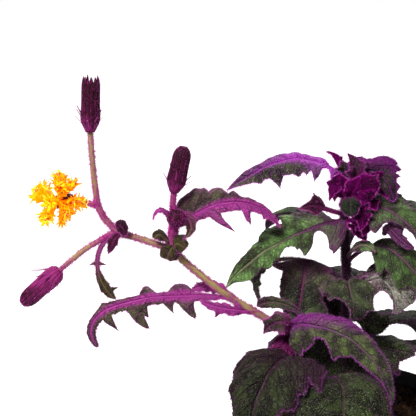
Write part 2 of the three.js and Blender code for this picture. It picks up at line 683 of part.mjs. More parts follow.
const branchLeaves = {
  branch_leaf_low: {
    midrib: [[-51, -17, 131], [-78.5, -20, 132.5], [-103, -21, 126.5], [-106, -21, 111]],
    face: [[0, -0.4, 1], [-0.8, -0.4, 0.3]],
    stalk: 0.05,
    halfWidth: 3.2,
    blunt: 0.4,
    curl: 60,
    sweep: 0.1,
    sharp: 1.1,
    left: [[0.2, 9, 0.04], [0.3, 8, 0.04], [0.48, 11, 0.05], [0.66, 7, 0.04]],
    right: [[0.2, 7, 0.09], [0.44, 5, 0.06]],
  },
  branch_leaf_high: {
    midrib: [[-74, -18, 161.5], [-60, -19.5, 170.5], [-44.5, -19.5, 172.5], [-30, -19, 161.5]],
    face: [[0, -0.6, 0.9], [0.7, -0.5, 0.4]],
    stalk: 0.04,
    halfWidth: 4.2,
    sweep: 0.1,
    left: [[0.12, 9, 0.12], [0.34, 8, 0.14], [0.5, 2.5, 0.06]],
    right: [[0.36, 4, 0.04], [0.5, 5, 0.03], [0.7, 3, 0.03]],
  },
  branch_leaf_hanging: {
    midrib: [[-101, -16, 157], [-105.5, -18, 149.5], [-104.5, -19, 140], [-98, -19, 131.5]],
    face: [[-0.6, -0.8, 0], [-0.8, -0.5, -0.2]],
    halfWidth: 2.2,
    left: [[0.4, 3, 0.03], [0.75, 3, 0.03]],
    right: [[0.4, 3, 0.03]],
  },
  branch_leaf_curled: {
    midrib: [[-74.5, -18, 163.5], [-78, -20, 169.5], [-81, -20.5, 169.5], [-82.5, -20.5, 166]],
    face: [[0, -0.7, 0.7], [-1, -0.5, 0]],
    halfWidth: 1.2,
    columns: 5,
  },
  branch_leaf_small: {
    midrib: [[-73.5, -18, 157.5], [-69.5, -25, 162.5], [-66.5, -27, 161], [-69, -27, 156.5]],
    face: [[0, -0.7, 0.7], [0.8, -0.7, 0]],
    halfWidth: 2.2,
    columns: 6,
  },
  branch_bract: {
    midrib: [[-95.5, -16, 158.5], [-97, -19, 159.5], [-98, -20, 157], [-100, -20, 152.5]],
    face: [[0, -0.6, 0.8], [-0.3, -1, 0]],
    halfWidth: 2,
    columns: 5,
  },
  node_auricle_low: {
    midrib: [[-74, -17, 151.5], [-74.5, -20, 151.5], [-75, -21.5, 150.5], [-76, -21.5, 148.5]],
    face: [[0, -0.6, 0.9], [0, -1, 0.2]],
    stalk: 0.3,
    halfWidth: 3.2,
    blunt: 0.45,
    columns: 5,
  },
  node_auricle_right: {
    midrib: [[-74.5, -17, 154], [-72, -20, 155.5], [-70, -21, 156], [-68, -21, 155]],
    face: [[0, -0.8, 0.6], [0.3, -1, 0.3]],
    stalk: 0.3,
    halfWidth: 2,
    blunt: 0.45,
    columns: 5,
  },
  node_auricle_left: {
    midrib: [[-74.5, -17.5, 156], [-78, -20, 159], [-80.5, -20.5, 160.5], [-82, -20.5, 159.5]],
    face: [[0, -0.8, 0.6], [-0.3, -1, 0.3]],
    stalk: 0.3,
    halfWidth: 1.8,
    blunt: 0.45,
    columns: 5,
  },
  node_auricle_front: {
    midrib: [[-42.5, -16.5, 124.8], [-49, -20.5, 127], [-56, -21.5, 128.5], [-63, -21, 131]],
    face: [[0, -0.8, 0.6], [0, -0.9, 0.5]],
    stalk: 0.1,
    halfWidth: 2.2,
    blunt: 0.5,
    columns: 7,
  },
  node_auricle_back: {
    midrib: [[-50.5, -17, 131.5], [-55, -14, 134.5], [-61, -13, 135], [-67, -13, 133]],
    face: [[0, -0.6, 0.8], [-0.3, -0.8, 0.6]],
    halfWidth: 2.6,
    blunt: 0.6,
    ruffle: 0.5,
    columns: 7,
  },
};

const leaves = { ...crownLeaves, ...upperLeaves, ...lowerLeaves, ...backLeaves, ...branchLeaves };

function leafNamed(name) {
  return { ...LEAF_DEFAULTS, ...leaves[name] };
}

// The stem that carries each leaf; every other leaf grows from the main stem
const onFloweringStem = [
  "centre_leaf", "node_leaf", "node_leaf_lower", "front_leaf", "base_leaf_left",
  "base_leaf_front", ...Object.keys(branchLeaves),
];
// Leaves whose edges are trimmed back where a neighbour lies against them
const trimmedBy = {
  young_leaf_back: ["young_leaf_spiky", "young_leaf_left"],
  young_leaf_inner: ["young_leaf_green", "young_leaf_broad"],
  young_leaf_broad: ["young_leaf_green"],
  node_leaf_lower: ["front_leaf"],
  base_leaf_front: ["front_leaf"],
  ruffled_leaf_upper: ["upper_leaf_right"],
  frosted_leaf_right: ["frosted_leaf_outer"],
  centre_leaf_right: ["frosted_leaf_right"],
  branch_leaf_low: ["node_auricle_back", "node_auricle_front"],
};
const onSideStem = [
  "right_leaf_lower", "back_leaf_middle", "back_leaf_low_left", "back_leaf_low_right",
];

function carrierOf(name) {
  if (onFloweringStem.includes(name)) return "flowering_stem";
  return onSideStem.includes(name) ? "side_stem" : "main_stem";
}

function scaled(profile, radius, length) {
  return profile.map(([across, along]) => [across * radius, along * length]);
}

// Buds: a cup that widens above its stalk, blunt at the top
function makeBud(stalk, tip, length = BUD.length) {
  const end = vector(stalk.at(-1));
  const axis = vector(tip).sub(end).normalize();
  const lean = axis.clone().cross(end.clone().sub(vector(stalk.at(-2))).normalize()).length();
  const from = end.addScaledVector(axis, GAP + STEM_RADIUS.flowering * lean).toArray();
  return turned(scaled(BUD_PROFILE, BUD.radius, length), BUD.sides, from, tip);
}

const buds = {
  bud_top: { stalk: topBudStalk, tip: [-107.3, -15, 225] },
  bud_low: { stalk: lowBudStalk, tip: [-139.5, -18, 127] },
  bud_middle: { stalk: middleBudStalk, tip: [-69.5, -16, 197], length: 20 },
  bud_round: { stalk: budShoot, tip: [-72, -27, 168], length: 6 },
};

// Flower head: a cup, and tubular florets that fan out from its mouth
const flowerAxis = vector([-0.5, -0.85, 0.25]).normalize();

function alongFlower(distance) {
  return vector(flowerStalk.at(-1)).addScaledVector(flowerAxis, FLOWER.seat + distance);
}

function makeFlowerCup() {
  const { cupRadius, cupLength } = FLOWER;
  const profile = scaled(CUP_PROFILE, cupRadius, cupLength);
  return turned(profile, BUD.sides, alongFlower(0).toArray(), alongFlower(1).toArray());
}

function makeFlorets() {
  const root = alongFlower(FLOWER.cupLength + GAP);
  const spread = new THREE.Quaternion().setFromUnitVectors(new THREE.Vector3(0, 0, 1), flowerAxis);
  const goldenAngle = Math.PI * (3 - Math.sqrt(5));
  const length = FLOWER.radius - FLORET.short;
  const foot = root.clone().addScaledVector(flowerAxis, FLORET.inset);
  const parts = [turned(DISC_PROFILE, DISC_SIDES, root.toArray(), foot.toArray())];
  for (let i = 0; i < FLOWER.florets; i += 1) {
    const tilt = (FLOWER.spread * Math.PI * Math.sqrt((i + 0.5) / FLOWER.florets)) / 180;
    const turn = goldenAngle * i;
    const heading = new THREE.Vector3(
      Math.sin(tilt) * Math.cos(turn), Math.sin(tilt) * Math.sin(turn), Math.cos(tilt));
    heading.applyQuaternion(spread);
    const profile = [[0, 0], [FLORET.foot, 0], [FLORET.mouth, length], [0, length]];
    parts.push(turned(profile, FLORET.sides, foot.toArray(), foot.clone().add(heading).toArray()));
  }
  return joined(parts);
}

const stems = makeStems(0);
const clearance = makeStems(GAP);
addMesh("pot", makePot(), COLOURS.plastic, 0.5);
addMesh("soil", makeSoil(Object.values(clearance)), COLOURS.peat, 0.95);
addMesh("main_stem", stems.main_stem, COLOURS.stemPurple);
addMesh("side_stem", stems.side_stem, COLOURS.stemPurple);
addMesh("flowering_stem", stems.flowering_stem, COLOURS.stemOlive);

for (const name of Object.keys(leaves)) {
  const neighbours = (trimmedBy[name] ?? []).map((other) => leafSolid(leafNamed(other), GAP));
  const around = joined([clearance[carrierOf(name)], ...neighbours]);
  addMesh(name, largestPiece(leafSolid(leafNamed(name)).subtract(around)), COLOURS.leafGreen);
}

for (const [name, { stalk, tip, length }] of Object.entries(buds)) {
  addMesh(name, makeBud(stalk, tip, length), COLOURS.budMaroon);
}
addMesh("flower_cup", makeFlowerCup(), COLOURS.budMaroon);
addMesh("flower_florets", makeFlorets(), COLOURS.petalOrange);

export default plant;
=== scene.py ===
"""A potted purple passion plant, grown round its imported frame.

Lengths in the tables are millimetres in the frame's axes, with +Z up and +Y away from the viewer. Meshes are
metres. A leaf is a lobed sheet bent along its midrib, as its solid in the frame is, with the veins, teeth and
velvet that the solid leaves out. A tint is six hexadecimal digits, as a screen shows it.
"""

import logging
import math
import random
from dataclasses import dataclass, field, replace
from enum import Enum, IntEnum

import bmesh
import bpy
import numpy as np
from mathutils import Matrix, Vector


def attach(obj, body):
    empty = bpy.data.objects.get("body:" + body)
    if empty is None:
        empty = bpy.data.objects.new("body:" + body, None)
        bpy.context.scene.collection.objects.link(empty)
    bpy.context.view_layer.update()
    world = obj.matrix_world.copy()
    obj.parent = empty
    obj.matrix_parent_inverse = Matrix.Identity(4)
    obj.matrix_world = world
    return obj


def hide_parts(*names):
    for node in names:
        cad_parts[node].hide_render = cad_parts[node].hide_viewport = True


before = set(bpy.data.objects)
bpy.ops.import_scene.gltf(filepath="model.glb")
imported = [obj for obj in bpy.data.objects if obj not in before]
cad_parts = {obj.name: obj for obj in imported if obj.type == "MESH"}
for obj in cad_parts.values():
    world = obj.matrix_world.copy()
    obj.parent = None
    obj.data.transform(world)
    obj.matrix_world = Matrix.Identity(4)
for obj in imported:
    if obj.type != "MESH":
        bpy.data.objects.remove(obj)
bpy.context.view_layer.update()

LOG = logging.getLogger("passion_plant")
MM = 0.001
BODY = "root"

Array = np.ndarray
Point = tuple[float, float, float]
Route = tuple[Point, ...]
Colour = tuple[float, float, float, float]
Lobes = tuple[tuple[float, ...], ...]
Mark = tuple[Point, Point, float]
Material = bpy.types.Material
Node = bpy.types.Node
Piece = bpy.types.Object
Socket = bpy.types.NodeSocket
Tree = bpy.types.NodeTree


class Slot(Enum):
    """The record's material slots."""

    POT = "pot_plastic"
    SOIL = "soil"
    STEM_PURPLE = "stem_purple"
    STEM_OLIVE = "stem_olive"
    YOUNG = "leaf_young"
    VIOLET = "leaf_violet"
    GREEN = "leaf_green"
    FROSTED = "leaf_frosted"
    DARK = "leaf_dark"
    BUD = "bud_maroon"
    PETAL = "petal_orange"


class Skin(IntEnum):
    """The order of a leaf's materials on its mesh."""

    UPPER = 0
    UNDER = 1


def colour(tint: str) -> Colour:
    """Turns a display colour into the linear one that a shader takes.

    Args:
        tint: Six hexadecimal digits, red, green and blue.

    Returns:
        Linear red, green and blue, and an alpha of 1.
    """
    shares = [int(tint[i : i + 2], 16) / 255 for i in (0, 2, 4)]
    linear = [s / 12.92 if s <= 0.04045 else ((s + 0.055) / 1.055) ** 2.4 for s in shares]
    return (*linear, 1.0)


def unit(vectors: Array) -> Array:
    """Scales each vector of an array to length 1."""
    return vectors / np.maximum(np.linalg.norm(vectors, axis=-1, keepdims=True), 1e-12)


def smoothstep(low: float, high: float, value: Array) -> Array:
    """Rises smoothly from 0 at low to 1 at high."""
    share = np.clip((value - low) / (high - low), 0, 1)
    return share * share * (3 - 2 * share)


# Node trees

VEIN_SLANT = 0.85
NET_SCALE = 4.5
GLINT_SCALE = 2300.0
SHORTEST_HAIR = 0.25


@dataclass
class Graph:
    """Adds nodes to one tree and joins them."""

    tree: Tree

    def feed(self, node: Node, inputs: dict) -> None:
        """Gives a node's inputs their values, or the sockets that they read.

        Args:
            node: The node.
            inputs: Values or sockets by the input's name or number.
        """
        for key, value in inputs.items():
            if isinstance(value, Socket):
                self.tree.links.new(value, node.inputs[key])
            else:
                node.inputs[key].default_value = value

    def add(self, kind: str, inputs: dict | None = None, **settings: object) -> Node:
        """Adds one node.

        Args:
            kind: The node's type name.
            inputs: Values or sockets by the input's name or number.
            settings: The node's own properties.

        Returns:
            The node.
        """
        node = self.tree.nodes.new(kind)
        for key, value in settings.items():
            setattr(node, key, value)
        self.feed(node, inputs or {})
        return node

    def maths(self, operation: str, *values: object) -> Socket:
        """Adds a sum, product or other operation on numbers."""
        return self.add("ShaderNodeMath", dict(enumerate(values)), operation=operation).outputs[0]

    def plus(self, first: object, second: object) -> Socket:
        """Adds two numbers."""
        return self.maths("ADD", first, second)

    def less(self, first: object, second: object) -> Socket:
        """Takes the second number from the first."""
        return self.maths("SUBTRACT", first, second)

    def times(self, first: object, second: object) -> Socket:
        """Multiplies two numbers."""
        return self.maths("MULTIPLY", first, second)

    def mix(self, share: object, first: object, second: object) -> Socket:
        """Mixes two colours."""
        return self.add("ShaderNodeMix", {0: share, 6: first, 7: second}, data_type="RGBA").outputs[2]

    def rise(self, value: object, low: float, high: float) -> Socket:
        """Rises smoothly from 0 at low to 1 at high."""
        inputs = {"Value": value, 1: low, 2: high, 3: 0.0, 4: 1.0}
        return self.add("ShaderNodeMapRange", inputs, interpolation_type="SMOOTHSTEP").outputs[0]

    def noise(self, where: Socket, scale: object, detail: float = 3.0) -> Socket:
        """Adds cloudy noise, from 0 to 1."""
        inputs = {"Vector": where, "Scale": scale, "Detail": detail}
        return self.add("ShaderNodeTexNoise", inputs).outputs["Fac"]

    def painted(self, name: str) -> Socket:
        """Reads a value that is painted on the mesh, in a shader."""
        return self.add("ShaderNodeAttribute", attribute_name=name).outputs["Fac"]

    def place(self) -> Socket:
        """Reads the place on the object."""
        return self.add("ShaderNodeTexCoord").outputs["Object"]

    def pattern(self) -> Socket:
        """Reads the piece's own pattern coordinates."""
        return self.add("ShaderNodeUVMap", uv_map="UVMap").outputs[0]

    def seen(self) -> Socket:
        """Gives 1 where the camera looks straight at a surface, and 0 elsewhere."""
        return self.add("ShaderNodeLightPath").outputs["Is Camera Ray"]

    def read(self, name: str, kind: str = "FLOAT") -> Socket:
        """Reads a value that is painted on the mesh, in a geometry tree."""
        return self.add("GeometryNodeInputNamedAttribute", {"Name": name}, data_type=kind).outputs[0]

    def chance(self, low: float, seed: Socket) -> Socket:
        """Draws a number from low to 1 for each point."""
        inputs = {2: low, 3: 1.0, "Seed": seed}
        return self.add("FunctionNodeRandomValue", inputs, data_type="FLOAT").outputs[1]

    def jitter(self, most: float, seed: Socket) -> Socket:
        """Draws a vector for each point, each part of it up to most either way."""
        inputs = {0: (-most,) * 3, 1: (most,) * 3, "Seed": seed}
        return self.add("FunctionNodeRandomValue", inputs, data_type="FLOAT_VECTOR").outputs[0]

    def scatter(self, given: dict, density: Socket) -> Node:
        """Scatters points over the faces of the group's geometry."""
        inputs = {"Mesh": given["Geometry"], "Density": density, "Seed": given["Seed"]}
        return self.add("GeometryNodeDistributePointsOnFaces", inputs, distribute_method="RANDOM")

    def copies(self, points: Socket, shape: Socket, turn: Socket, scale: Socket) -> Socket:
        """Sets a copy of a shape on each point."""
        inputs = {"Points": points, "Instance": shape, "Rotation": turn, "Scale": scale}
        return self.add("GeometryNodeInstanceOnPoints", inputs).outputs[0]

    def laid(self, ground: Socket, copies: Socket, material: Socket) -> Socket:
        """Makes copies real, gives them a material and joins them to the ground that they stand on.

        Args:
            ground: The geometry below.
            copies: The copies.
            material: Their material.

        Returns:
            Both together.
        """
        real = self.add("GeometryNodeRealizeInstances", {0: copies})
        dressed = self.add("GeometryNodeSetMaterial", {"Geometry": real.outputs[0], "Material": material})
        both = self.add("GeometryNodeJoinGeometry", {0: ground})
        self.feed(both, {0: dressed.outputs[0]})
        return both.outputs[0]


def new_group(name: str, kind: str, inputs: dict, outputs: dict) -> tuple[Graph, dict, Node]:
    """Starts a node group with named inputs and outputs.

    Args:
        name: The group's name.
        kind: The tree's kind, Shader or Geometry.
        inputs: The socket's sort, and its first value where it has one, by name.
        outputs: The socket's sort by name.

    Returns:
        The graph, its input sockets by name, and its output node.
    """
    tree = bpy.data.node_groups.new(name, f"{kind}NodeTree")
    for label, (sort, *first) in inputs.items():
        socket = tree.interface.new_socket(name=label, in_out="INPUT", socket_type=f"NodeSocket{sort}")
        if first:
            socket.default_value = first[0]
    for label, sort in outputs.items():
        tree.interface.new_socket(name=label, in_out="OUTPUT", socket_type=f"NodeSocket{sort}")
    graph = Graph(tree)
    entry = graph.add("NodeGroupInput")
    return graph, {label: entry.outputs[label] for label in inputs}, graph.add("NodeGroupOutput")


def vein_group() -> Tree:
    """Makes the effect of a feathered leaf: midrib, side veins and the fine net between them.

    Returns:
        The group. Its place is counted in steps from one side vein to the next.
    """
    graph, given, out = new_group(
        "LeafVeins", "Shader", {"Place": ("Vector",), "Slant": ("Float", VEIN_SLANT)},
        dict.fromkeys(("Vein", "Rib", "Net", "Height"), "Float"))
    split = graph.add("ShaderNodeSeparateXYZ", {0: given["Place"]})
    wander = graph.times(graph.noise(given["Place"], 0.8, 2.0), 0.5)
    aside = graph.maths("ABSOLUTE", split.outputs["Y"])
    slanted = graph.less(split.outputs["X"], graph.times(aside, given["Slant"]))
    share = graph.maths("FRACT", graph.plus(slanted, wander))
    side = graph.rise(graph.times(graph.maths("ABSOLUTE", graph.less(share, 0.5)), 2.0), 0.86, 0.99)
    rib = graph.less(1.0, graph.rise(aside, 0.05, 0.14))
    inputs = {"Vector": given["Place"], "Scale": NET_SCALE}
    cells = graph.add("ShaderNodeTexVoronoi", inputs, feature="DISTANCE_TO_EDGE")
    net = graph.less(1.0, graph.rise(cells.outputs["Distance"], 0.0, 0.16))
    dips = graph.plus(side, graph.times(net, 0.45))
    height = graph.less(1.0, graph.maths("MAXIMUM", dips, rib))
    graph.feed(out, {"Vein": side, "Rib": rib, "Net": net, "Height": height})
    return graph.tree


def painted_glint_group() -> Tree:
    """Paints the glints of short hairs into a surface's colour, as painted highlights.

    Returns:
        The group. It lightens a colour with painted highlight where a hair would catch the light.
    """
    graph, given, out = new_group(
        "HairGlints", "Shader",
        {"Colour": ("Color",), "Glint": ("Color",), "Amount": ("Float", 0.5),
         "Scale": ("Float", GLINT_SCALE)},
        {"Colour": "Color", "Height": "Float"})
    peaks = graph.rise(graph.noise(graph.place(), given["Scale"], 2.0), 0.54, 0.74)
    with_painted_glints = graph.mix(graph.times(peaks, given["Amount"]), given["Colour"], given["Glint"])
    graph.feed(out, {"Colour": with_painted_glints, "Height": peaks})
    return graph.tree


def velvet_tree() -> Tree:
    """Makes the geometry tree that grows hairs on a surface.

    Returns:
        The tree. Its densities are in hairs a square metre, and its sizes in metres.
    """
    graph, given, out = new_group(
        "Velvet", "Geometry",
        {"Geometry": ("Geometry",), "Density": ("Float", 1e6), "Fringe": ("Float", 1e7),
         "Length": ("Float", 8e-4), "Width": ("Float", 3e-5), "Spread": ("Float", 0.6), "Seed": ("Int", 1),
         "Hair": ("Material",)},
        {"Geometry": "Geometry"})
    density = graph.plus(given["Density"], graph.times(graph.read("rim"), given["Fringe"]))
    spots = graph.scatter(given, density)
    inputs = {0: graph.jitter(1.0, given["Seed"]), "Scale": given["Spread"]}
    lean = graph.add("ShaderNodeVectorMath", inputs, operation="SCALE")
    inputs = {0: spots.outputs["Normal"], 1: lean.outputs[0]}
    heading = graph.add("ShaderNodeVectorMath", inputs, operation="ADD")
    turn = graph.add("FunctionNodeAlignRotationToVector", {"Vector": heading.outputs[0]}, axis="Z")
    tall = graph.times(given["Length"], graph.chance(SHORTEST_HAIR, given["Seed"]))
    scale = graph.add("ShaderNodeCombineXYZ", {0: given["Width"], 1: given["Width"], 2: tall})
    cone = {"Vertices": 3, "Radius Top": 0.0, "Radius Bottom": 1.0, "Depth": 1.0}
    spike = graph.add("GeometryNodeMeshCone", cone, fill_type="NGON")
    hairs = graph.copies(spots.outputs["Points"], spike.outputs["Mesh"], turn.outputs[0], scale.outputs[0])
    graph.feed(out, {0: graph.laid(given["Geometry"], hairs, given["Hair"])})
    return graph.tree


def crumb_tree() -> Tree:
    """Makes the geometry tree that scatters crumbs over a surface.

    Returns:
        The tree. Most of its crumbs are near the smallest size.
    """
    graph, given, out = new_group(
        "Crumbs", "Geometry",
        {"Geometry": ("Geometry",), "Density": ("Float", 2e5), "Smallest": ("Float", 4e-4),
         "Largest": ("Float", 2e-3), "Flatness": ("Float", 0.5), "Seed": ("Int", 1), "Crumb": ("Material",)},
        {"Geometry": "Geometry"})
    spots = graph.scatter(given, graph.times(graph.read("loose"), given["Density"]))
    turn = graph.jitter(3.0, given["Seed"])
    rare = graph.maths("POWER", graph.chance(0.0, given["Seed"]), 3.0)
    span = graph.less(given["Largest"], given["Smallest"])
    size = graph.plus(given["Smallest"], graph.times(rare, span))
    flat = graph.times(size, given["Flatness"])
    scale = graph.add("ShaderNodeCombineXYZ", {0: size, 1: graph.times(size, 0.7), 2: flat})
    bare = graph.add("GeometryNodeRemoveAttribute", {0: spots.outputs["Points"], "Name": "loose"})
    ball = graph.add("GeometryNodeMeshIcoSphere", {"Radius": 1.0, "Subdivisions": 1})
    crumbs = graph.copies(bare.outputs[0], ball.outputs["Mesh"], turn, scale.outputs[0])
    graph.feed(out, {0: graph.laid(given["Geometry"], crumbs, given["Crumb"])})
    return graph.tree


def whorl_tree() -> Tree:
    """Makes the geometry tree that sets copies of one shape on marked points.

    Returns:
        The tree. Each point carries the way that its copy turns, the copy's size and its ripeness.
    """
    graph, given, out = new_group(
        "Whorl", "Geometry", {"Geometry": ("Geometry",), "Shape": ("Object",)}, {"Geometry": "Geometry"})
    shape = graph.add("GeometryNodeObjectInfo", {"Object": given["Shape"]}).outputs["Geometry"]
    copies = graph.copies(given["Geometry"], shape, graph.read("turn", "FLOAT_VECTOR"), graph.read("size"))
    inputs = {"Geometry": copies, "Name": "ripeness", "Value": graph.read("flush")}
    marked = graph.add("GeometryNodeStoreNamedAttribute", inputs, data_type="FLOAT", domain="INSTANCE")
    real = graph.add("GeometryNodeRealizeInstances", {0: marked.outputs[0]})
    graph.feed(out, {0: real.outputs[0]})
    return graph.tree


def settle(piece: Piece, modifier: bpy.types.Modifier) -> None:
    """Keeps what a modifier makes of a piece as its mesh, and removes the modifier.

    Args:
        piece: The piece to change.
        modifier: Its modifier.
    """
    depsgraph = bpy.context.evaluated_depsgraph_get()
    mesh = bpy.data.meshes.new_from_object(
        piece.evaluated_get(depsgraph), preserve_all_data_layers=True, depsgraph=depsgraph)
    piece.modifiers.remove(modifier)
    before = piece.data
    piece.data = mesh
    bpy.data.meshes.remove(before)


def grown(piece: Piece, tree: Tree, values: dict) -> None:
    """Runs a geometry tree on a piece and keeps the result as its mesh.

    Args:
        piece: The piece to change.
        tree: The geometry tree.
        values: The tree's inputs by name.
    """
    modifier = piece.modifiers.new(tree.name, "NODES")
    modifier.node_group = tree
    for item in tree.interface.items_tree:
        if item.in_out == "INPUT" and item.name in values:
            modifier[item.identifier] = values[item.name]
    settle(piece, modifier)


@dataclass(frozen=True)
class Fur:
    """A coat of hairs: how many stand on a square millimetre, their size, and how far they splay."""

    density: float
    length: float
    width: float
    spread: float
    fringe: float = 0.0

    def grow(self, piece: Piece, velvet: Tree, seed: int, hair: Material) -> None:
        """Grows the coat on a piece.

        Args:
            piece: The piece to change.
            velvet: The geometry tree that grows hairs.
            seed: The seed of their places.
            hair: Their material.
        """
        grown(piece, velvet, {
            "Density": self.density / MM**2, "Fringe": self.fringe / MM**2, "Length": self.length * MM,
            "Width": self.width * MM, "Spread": self.spread, "Seed": seed, "Hair": hair,
        })


# Meshes


@dataclass
class Shape:
    """The points, faces and painted values of one piece before it becomes a mesh."""

    points: list[Array] = field(default_factory=list)
    faces: list[tuple[int, ...]] = field(default_factory=list)
    skins: list[int] = field(default_factory=list)
    rims: list[float] = field(default_factory=list)
    flush: list[Array] = field(default_factory=list)
    margin: list[Array] = field(default_factory=list)
    places: list[Array] = field(default_factory=list)
    count: int = 0

    def add_points(self, points: Array, flush: object = 0.0, margin: object = 0.0,
                   place: object = 0.0) -> int:
        """Adds points in millimetres with what is painted on them.

        Args:
            points: One row of three for each point.
            flush: How violet each point is, from 0 to 1.
            margin: How near each point is to an edge, from 0 to 1.
            place: Two pattern coordinates for each point.

        Returns:
            The number of the first point.
        """
        first = self.count
        number = len(points)
        self.points.append(points)
        self.flush.append(np.broadcast_to(flush, number))
        self.margin.append(np.broadcast_to(margin, number))
        self.places.append(np.broadcast_to(place, (number, 2)))
        self.count += number
        return first

    def add_faces(self, faces: list[tuple[int, ...]], skin: int = Skin.UPPER, rim: float = 0.0) -> None:
        """Adds faces that share one material.

        Args:
            faces: The numbers of each face's points.
            skin: Which of the piece's materials they take.
            rim: What is painted on them as rim.
        """
        self.faces.extend(faces)
        self.skins.extend([skin] * len(faces))
        self.rims.extend([rim] * len(faces))

    def add_sheet(self, upper: Array, lower: Array, **paint: Array) -> None:
        """Adds a closed sheet between two grids of points.

        Args:
            upper: The upper side's points, columns by rows by three.
            lower: The lower side's points in the same layout.
            paint: Painted values in the layout of add_points.
        """
        columns, rows = upper.shape[:2]
        top = self.add_points(upper.reshape(-1, 3), **paint)
        low = self.add_points(lower.reshape(-1, 3), **paint)
        spots = np.arange(columns * rows).reshape(columns, rows)
        quads = np.stack([spots[:-1, :-1], spots[:-1, 1:], spots[1:, 1:], spots[1:, :-1]], -1).reshape(-1, 4)
        self.add_faces((quads + top).tolist())
        self.add_faces((quads[:, [0, 3, 2, 1]] + low).tolist(), Skin.UNDER)
        edge = [*spots[:-1, 0], *spots[-1, :-1], *spots[:0:-1, -1], *spots[0, :0:-1]]
        after = [*edge[1:], edge[0]]
        self.add_faces([(top + p, top + q, low + q, low + p) for p, q in zip(edge, after)], rim=1.0)

    def add_rings(self, grid: Array, ends: Array, end_flush: float = 0.0, mirrored: bool = False,
                  loose: int = 0, **paint: Array) -> None:
        """Adds a closed skin over rings of points, with a fan of faces over each end.

        Args:
            grid: The rings' points, rings by sides by three.
            ends: The middle point of each end.
            end_flush: How violet those two points are.
            mirrored: Whether the skin faces the other way.
            loose: How many bands of faces, after the first fan, are painted as rim with it.
            paint: Painted values in the layout of add_points.
        """
        start = self.add_points(grid.reshape(-1, 3), **paint)
        middle = self.add_points(ends, end_flush)
        spots = start + np.arange(grid.shape[0] * grid.shape[1]).reshape(grid.shape[:2])
        nearby = np.roll(spots, -1, axis=1)
        bands = np.stack([spots[:-1], nearby[:-1], nearby[1:], spots[1:]], -1)
        if mirrored:
            bands = bands[..., [0, 3, 2, 1]]
            spots, nearby = nearby, spots
        self.add_faces(bands[:loose].reshape(-1, 4).tolist(), rim=1.0)
        self.add_faces(bands[loose:].reshape(-1, 4).tolist())
        first = zip(spots[0].tolist(), nearby[0].tolist())
        last = zip(spots[-1].tolist(), nearby[-1].tolist())
        self.add_faces([(middle, q, p) for p, q in first], rim=float(loose > 0))
        self.add_faces([(middle + 1, p, q) for p, q in last])

    def add_tube(self, route: Array, radii: Array, sides: int, flush: Array, ribs: int = 0,
                 depth: float = 0.0) -> None:
        """Adds a closed round bar along a route.

        Args:
            route: The centreline's points.
            radii: The radius at each of them.
            sides: How many sides the bar has.
            flush: How violet the bar is at each point of its route.
            ribs: How many ribs run along the bar.
            depth: The ribs' depth as a share of the radius.
        """
        along = unit(np.gradient(route, axis=0))
        first = np.cross(along[0], (0.0, 0.3, 1.0) if abs(along[0][2]) < 0.8 else (1.0, 0.0, 0.0))
        normals = [first / np.linalg.norm(first)]
        for heading in along[1:]:
            turned = normals[-1] - heading * np.dot(normals[-1], heading)
            normals.append(turned / np.linalg.norm(turned))
        normals = np.array(normals)
        binormals = np.cross(along, normals)
        angles = np.linspace(0, 2 * math.pi, sides, endpoint=False)
        ring = radii[:, None] * (1 + depth * np.cos(ribs * angles))[None, :]
        grid = (
            route[:, None]
            + normals[:, None] * (ring * np.cos(angles))[..., None]
            + binormals[:, None] * (ring * np.sin(angles))[..., None]
        )
        travelled = np.concatenate([[0], np.cumsum(np.linalg.norm(np.diff(route, axis=0), axis=1))])
        turns = np.broadcast_to(np.minimum(angles, 2 * math.pi - angles)[None, :], ring.shape)
        place = np.stack([np.broadcast_to(travelled[:, None], ring.shape), turns * radii[:, None]], -1)
        self.add_rings(grid, np.array([route[0], route[-1]]), float(flush[0]), flush=np.repeat(flush, sides),
                       place=place.reshape(-1, 2))

    def piece(self, name: str, materials: list[Material]) -> Piece:
        """Turns the shape into an object at the origin.

        Args:
            name: The piece's name.
            materials: The piece's materials, in the order of its skins.

        Returns:
            The object.
        """
        mesh = bpy.data.meshes.new(name)
        mesh.from_pydata((np.concatenate(self.points) * MM).tolist(), [], self.faces)
        for material in materials:
            mesh.materials.append(material)
        mesh.polygons.foreach_set("material_index", self.skins)
        mesh.polygons.foreach_set("use_smooth", [True] * len(self.faces))
        for label, values in (("flush", self.flush), ("margin", self.margin)):
            layer = mesh.attributes.new(label, "FLOAT", "POINT")
            layer.data.foreach_set("value", np.concatenate(values).astype(np.float32))
        mesh.attributes.new("rim", "FLOAT", "FACE").data.foreach_set("value", self.rims)
        corners = np.zeros(len(mesh.loops), dtype=np.int32)
        mesh.loops.foreach_get("vertex_index", corners)
        layer = mesh.uv_layers.new(name="UVMap")
        layer.data.foreach_set("uv", np.concatenate(self.places)[corners].astype(np.float32).ravel())
        mesh.update()
        return placed(name, mesh)


def placed(name: str, data: bpy.types.ID) -> Piece:
    """Puts a mesh, camera or light into the scene.

    Args:
        name: The object's name.
        data: What the object shows.

    Returns:
        The object, at the origin.
    """
    piece = bpy.data.objects.new(name, data)
    bpy.context.scene.collection.objects.link(piece)
    return piece


def merge(piece: Piece, others: list[Piece]) -> None:
    """Joins other objects' meshes into a piece."""
    with bpy.context.temp_override(active_object=piece, selected_editable_objects=[piece, *others]):
        bpy.ops.object.join()


def blend(first: Array, last: Array, low: float, high: float, t: Array) -> Array:
    """Goes from a first to a last point or curve as t goes from low to high."""
    return (first * (high - t) + last * (t - low)) / (high - low)


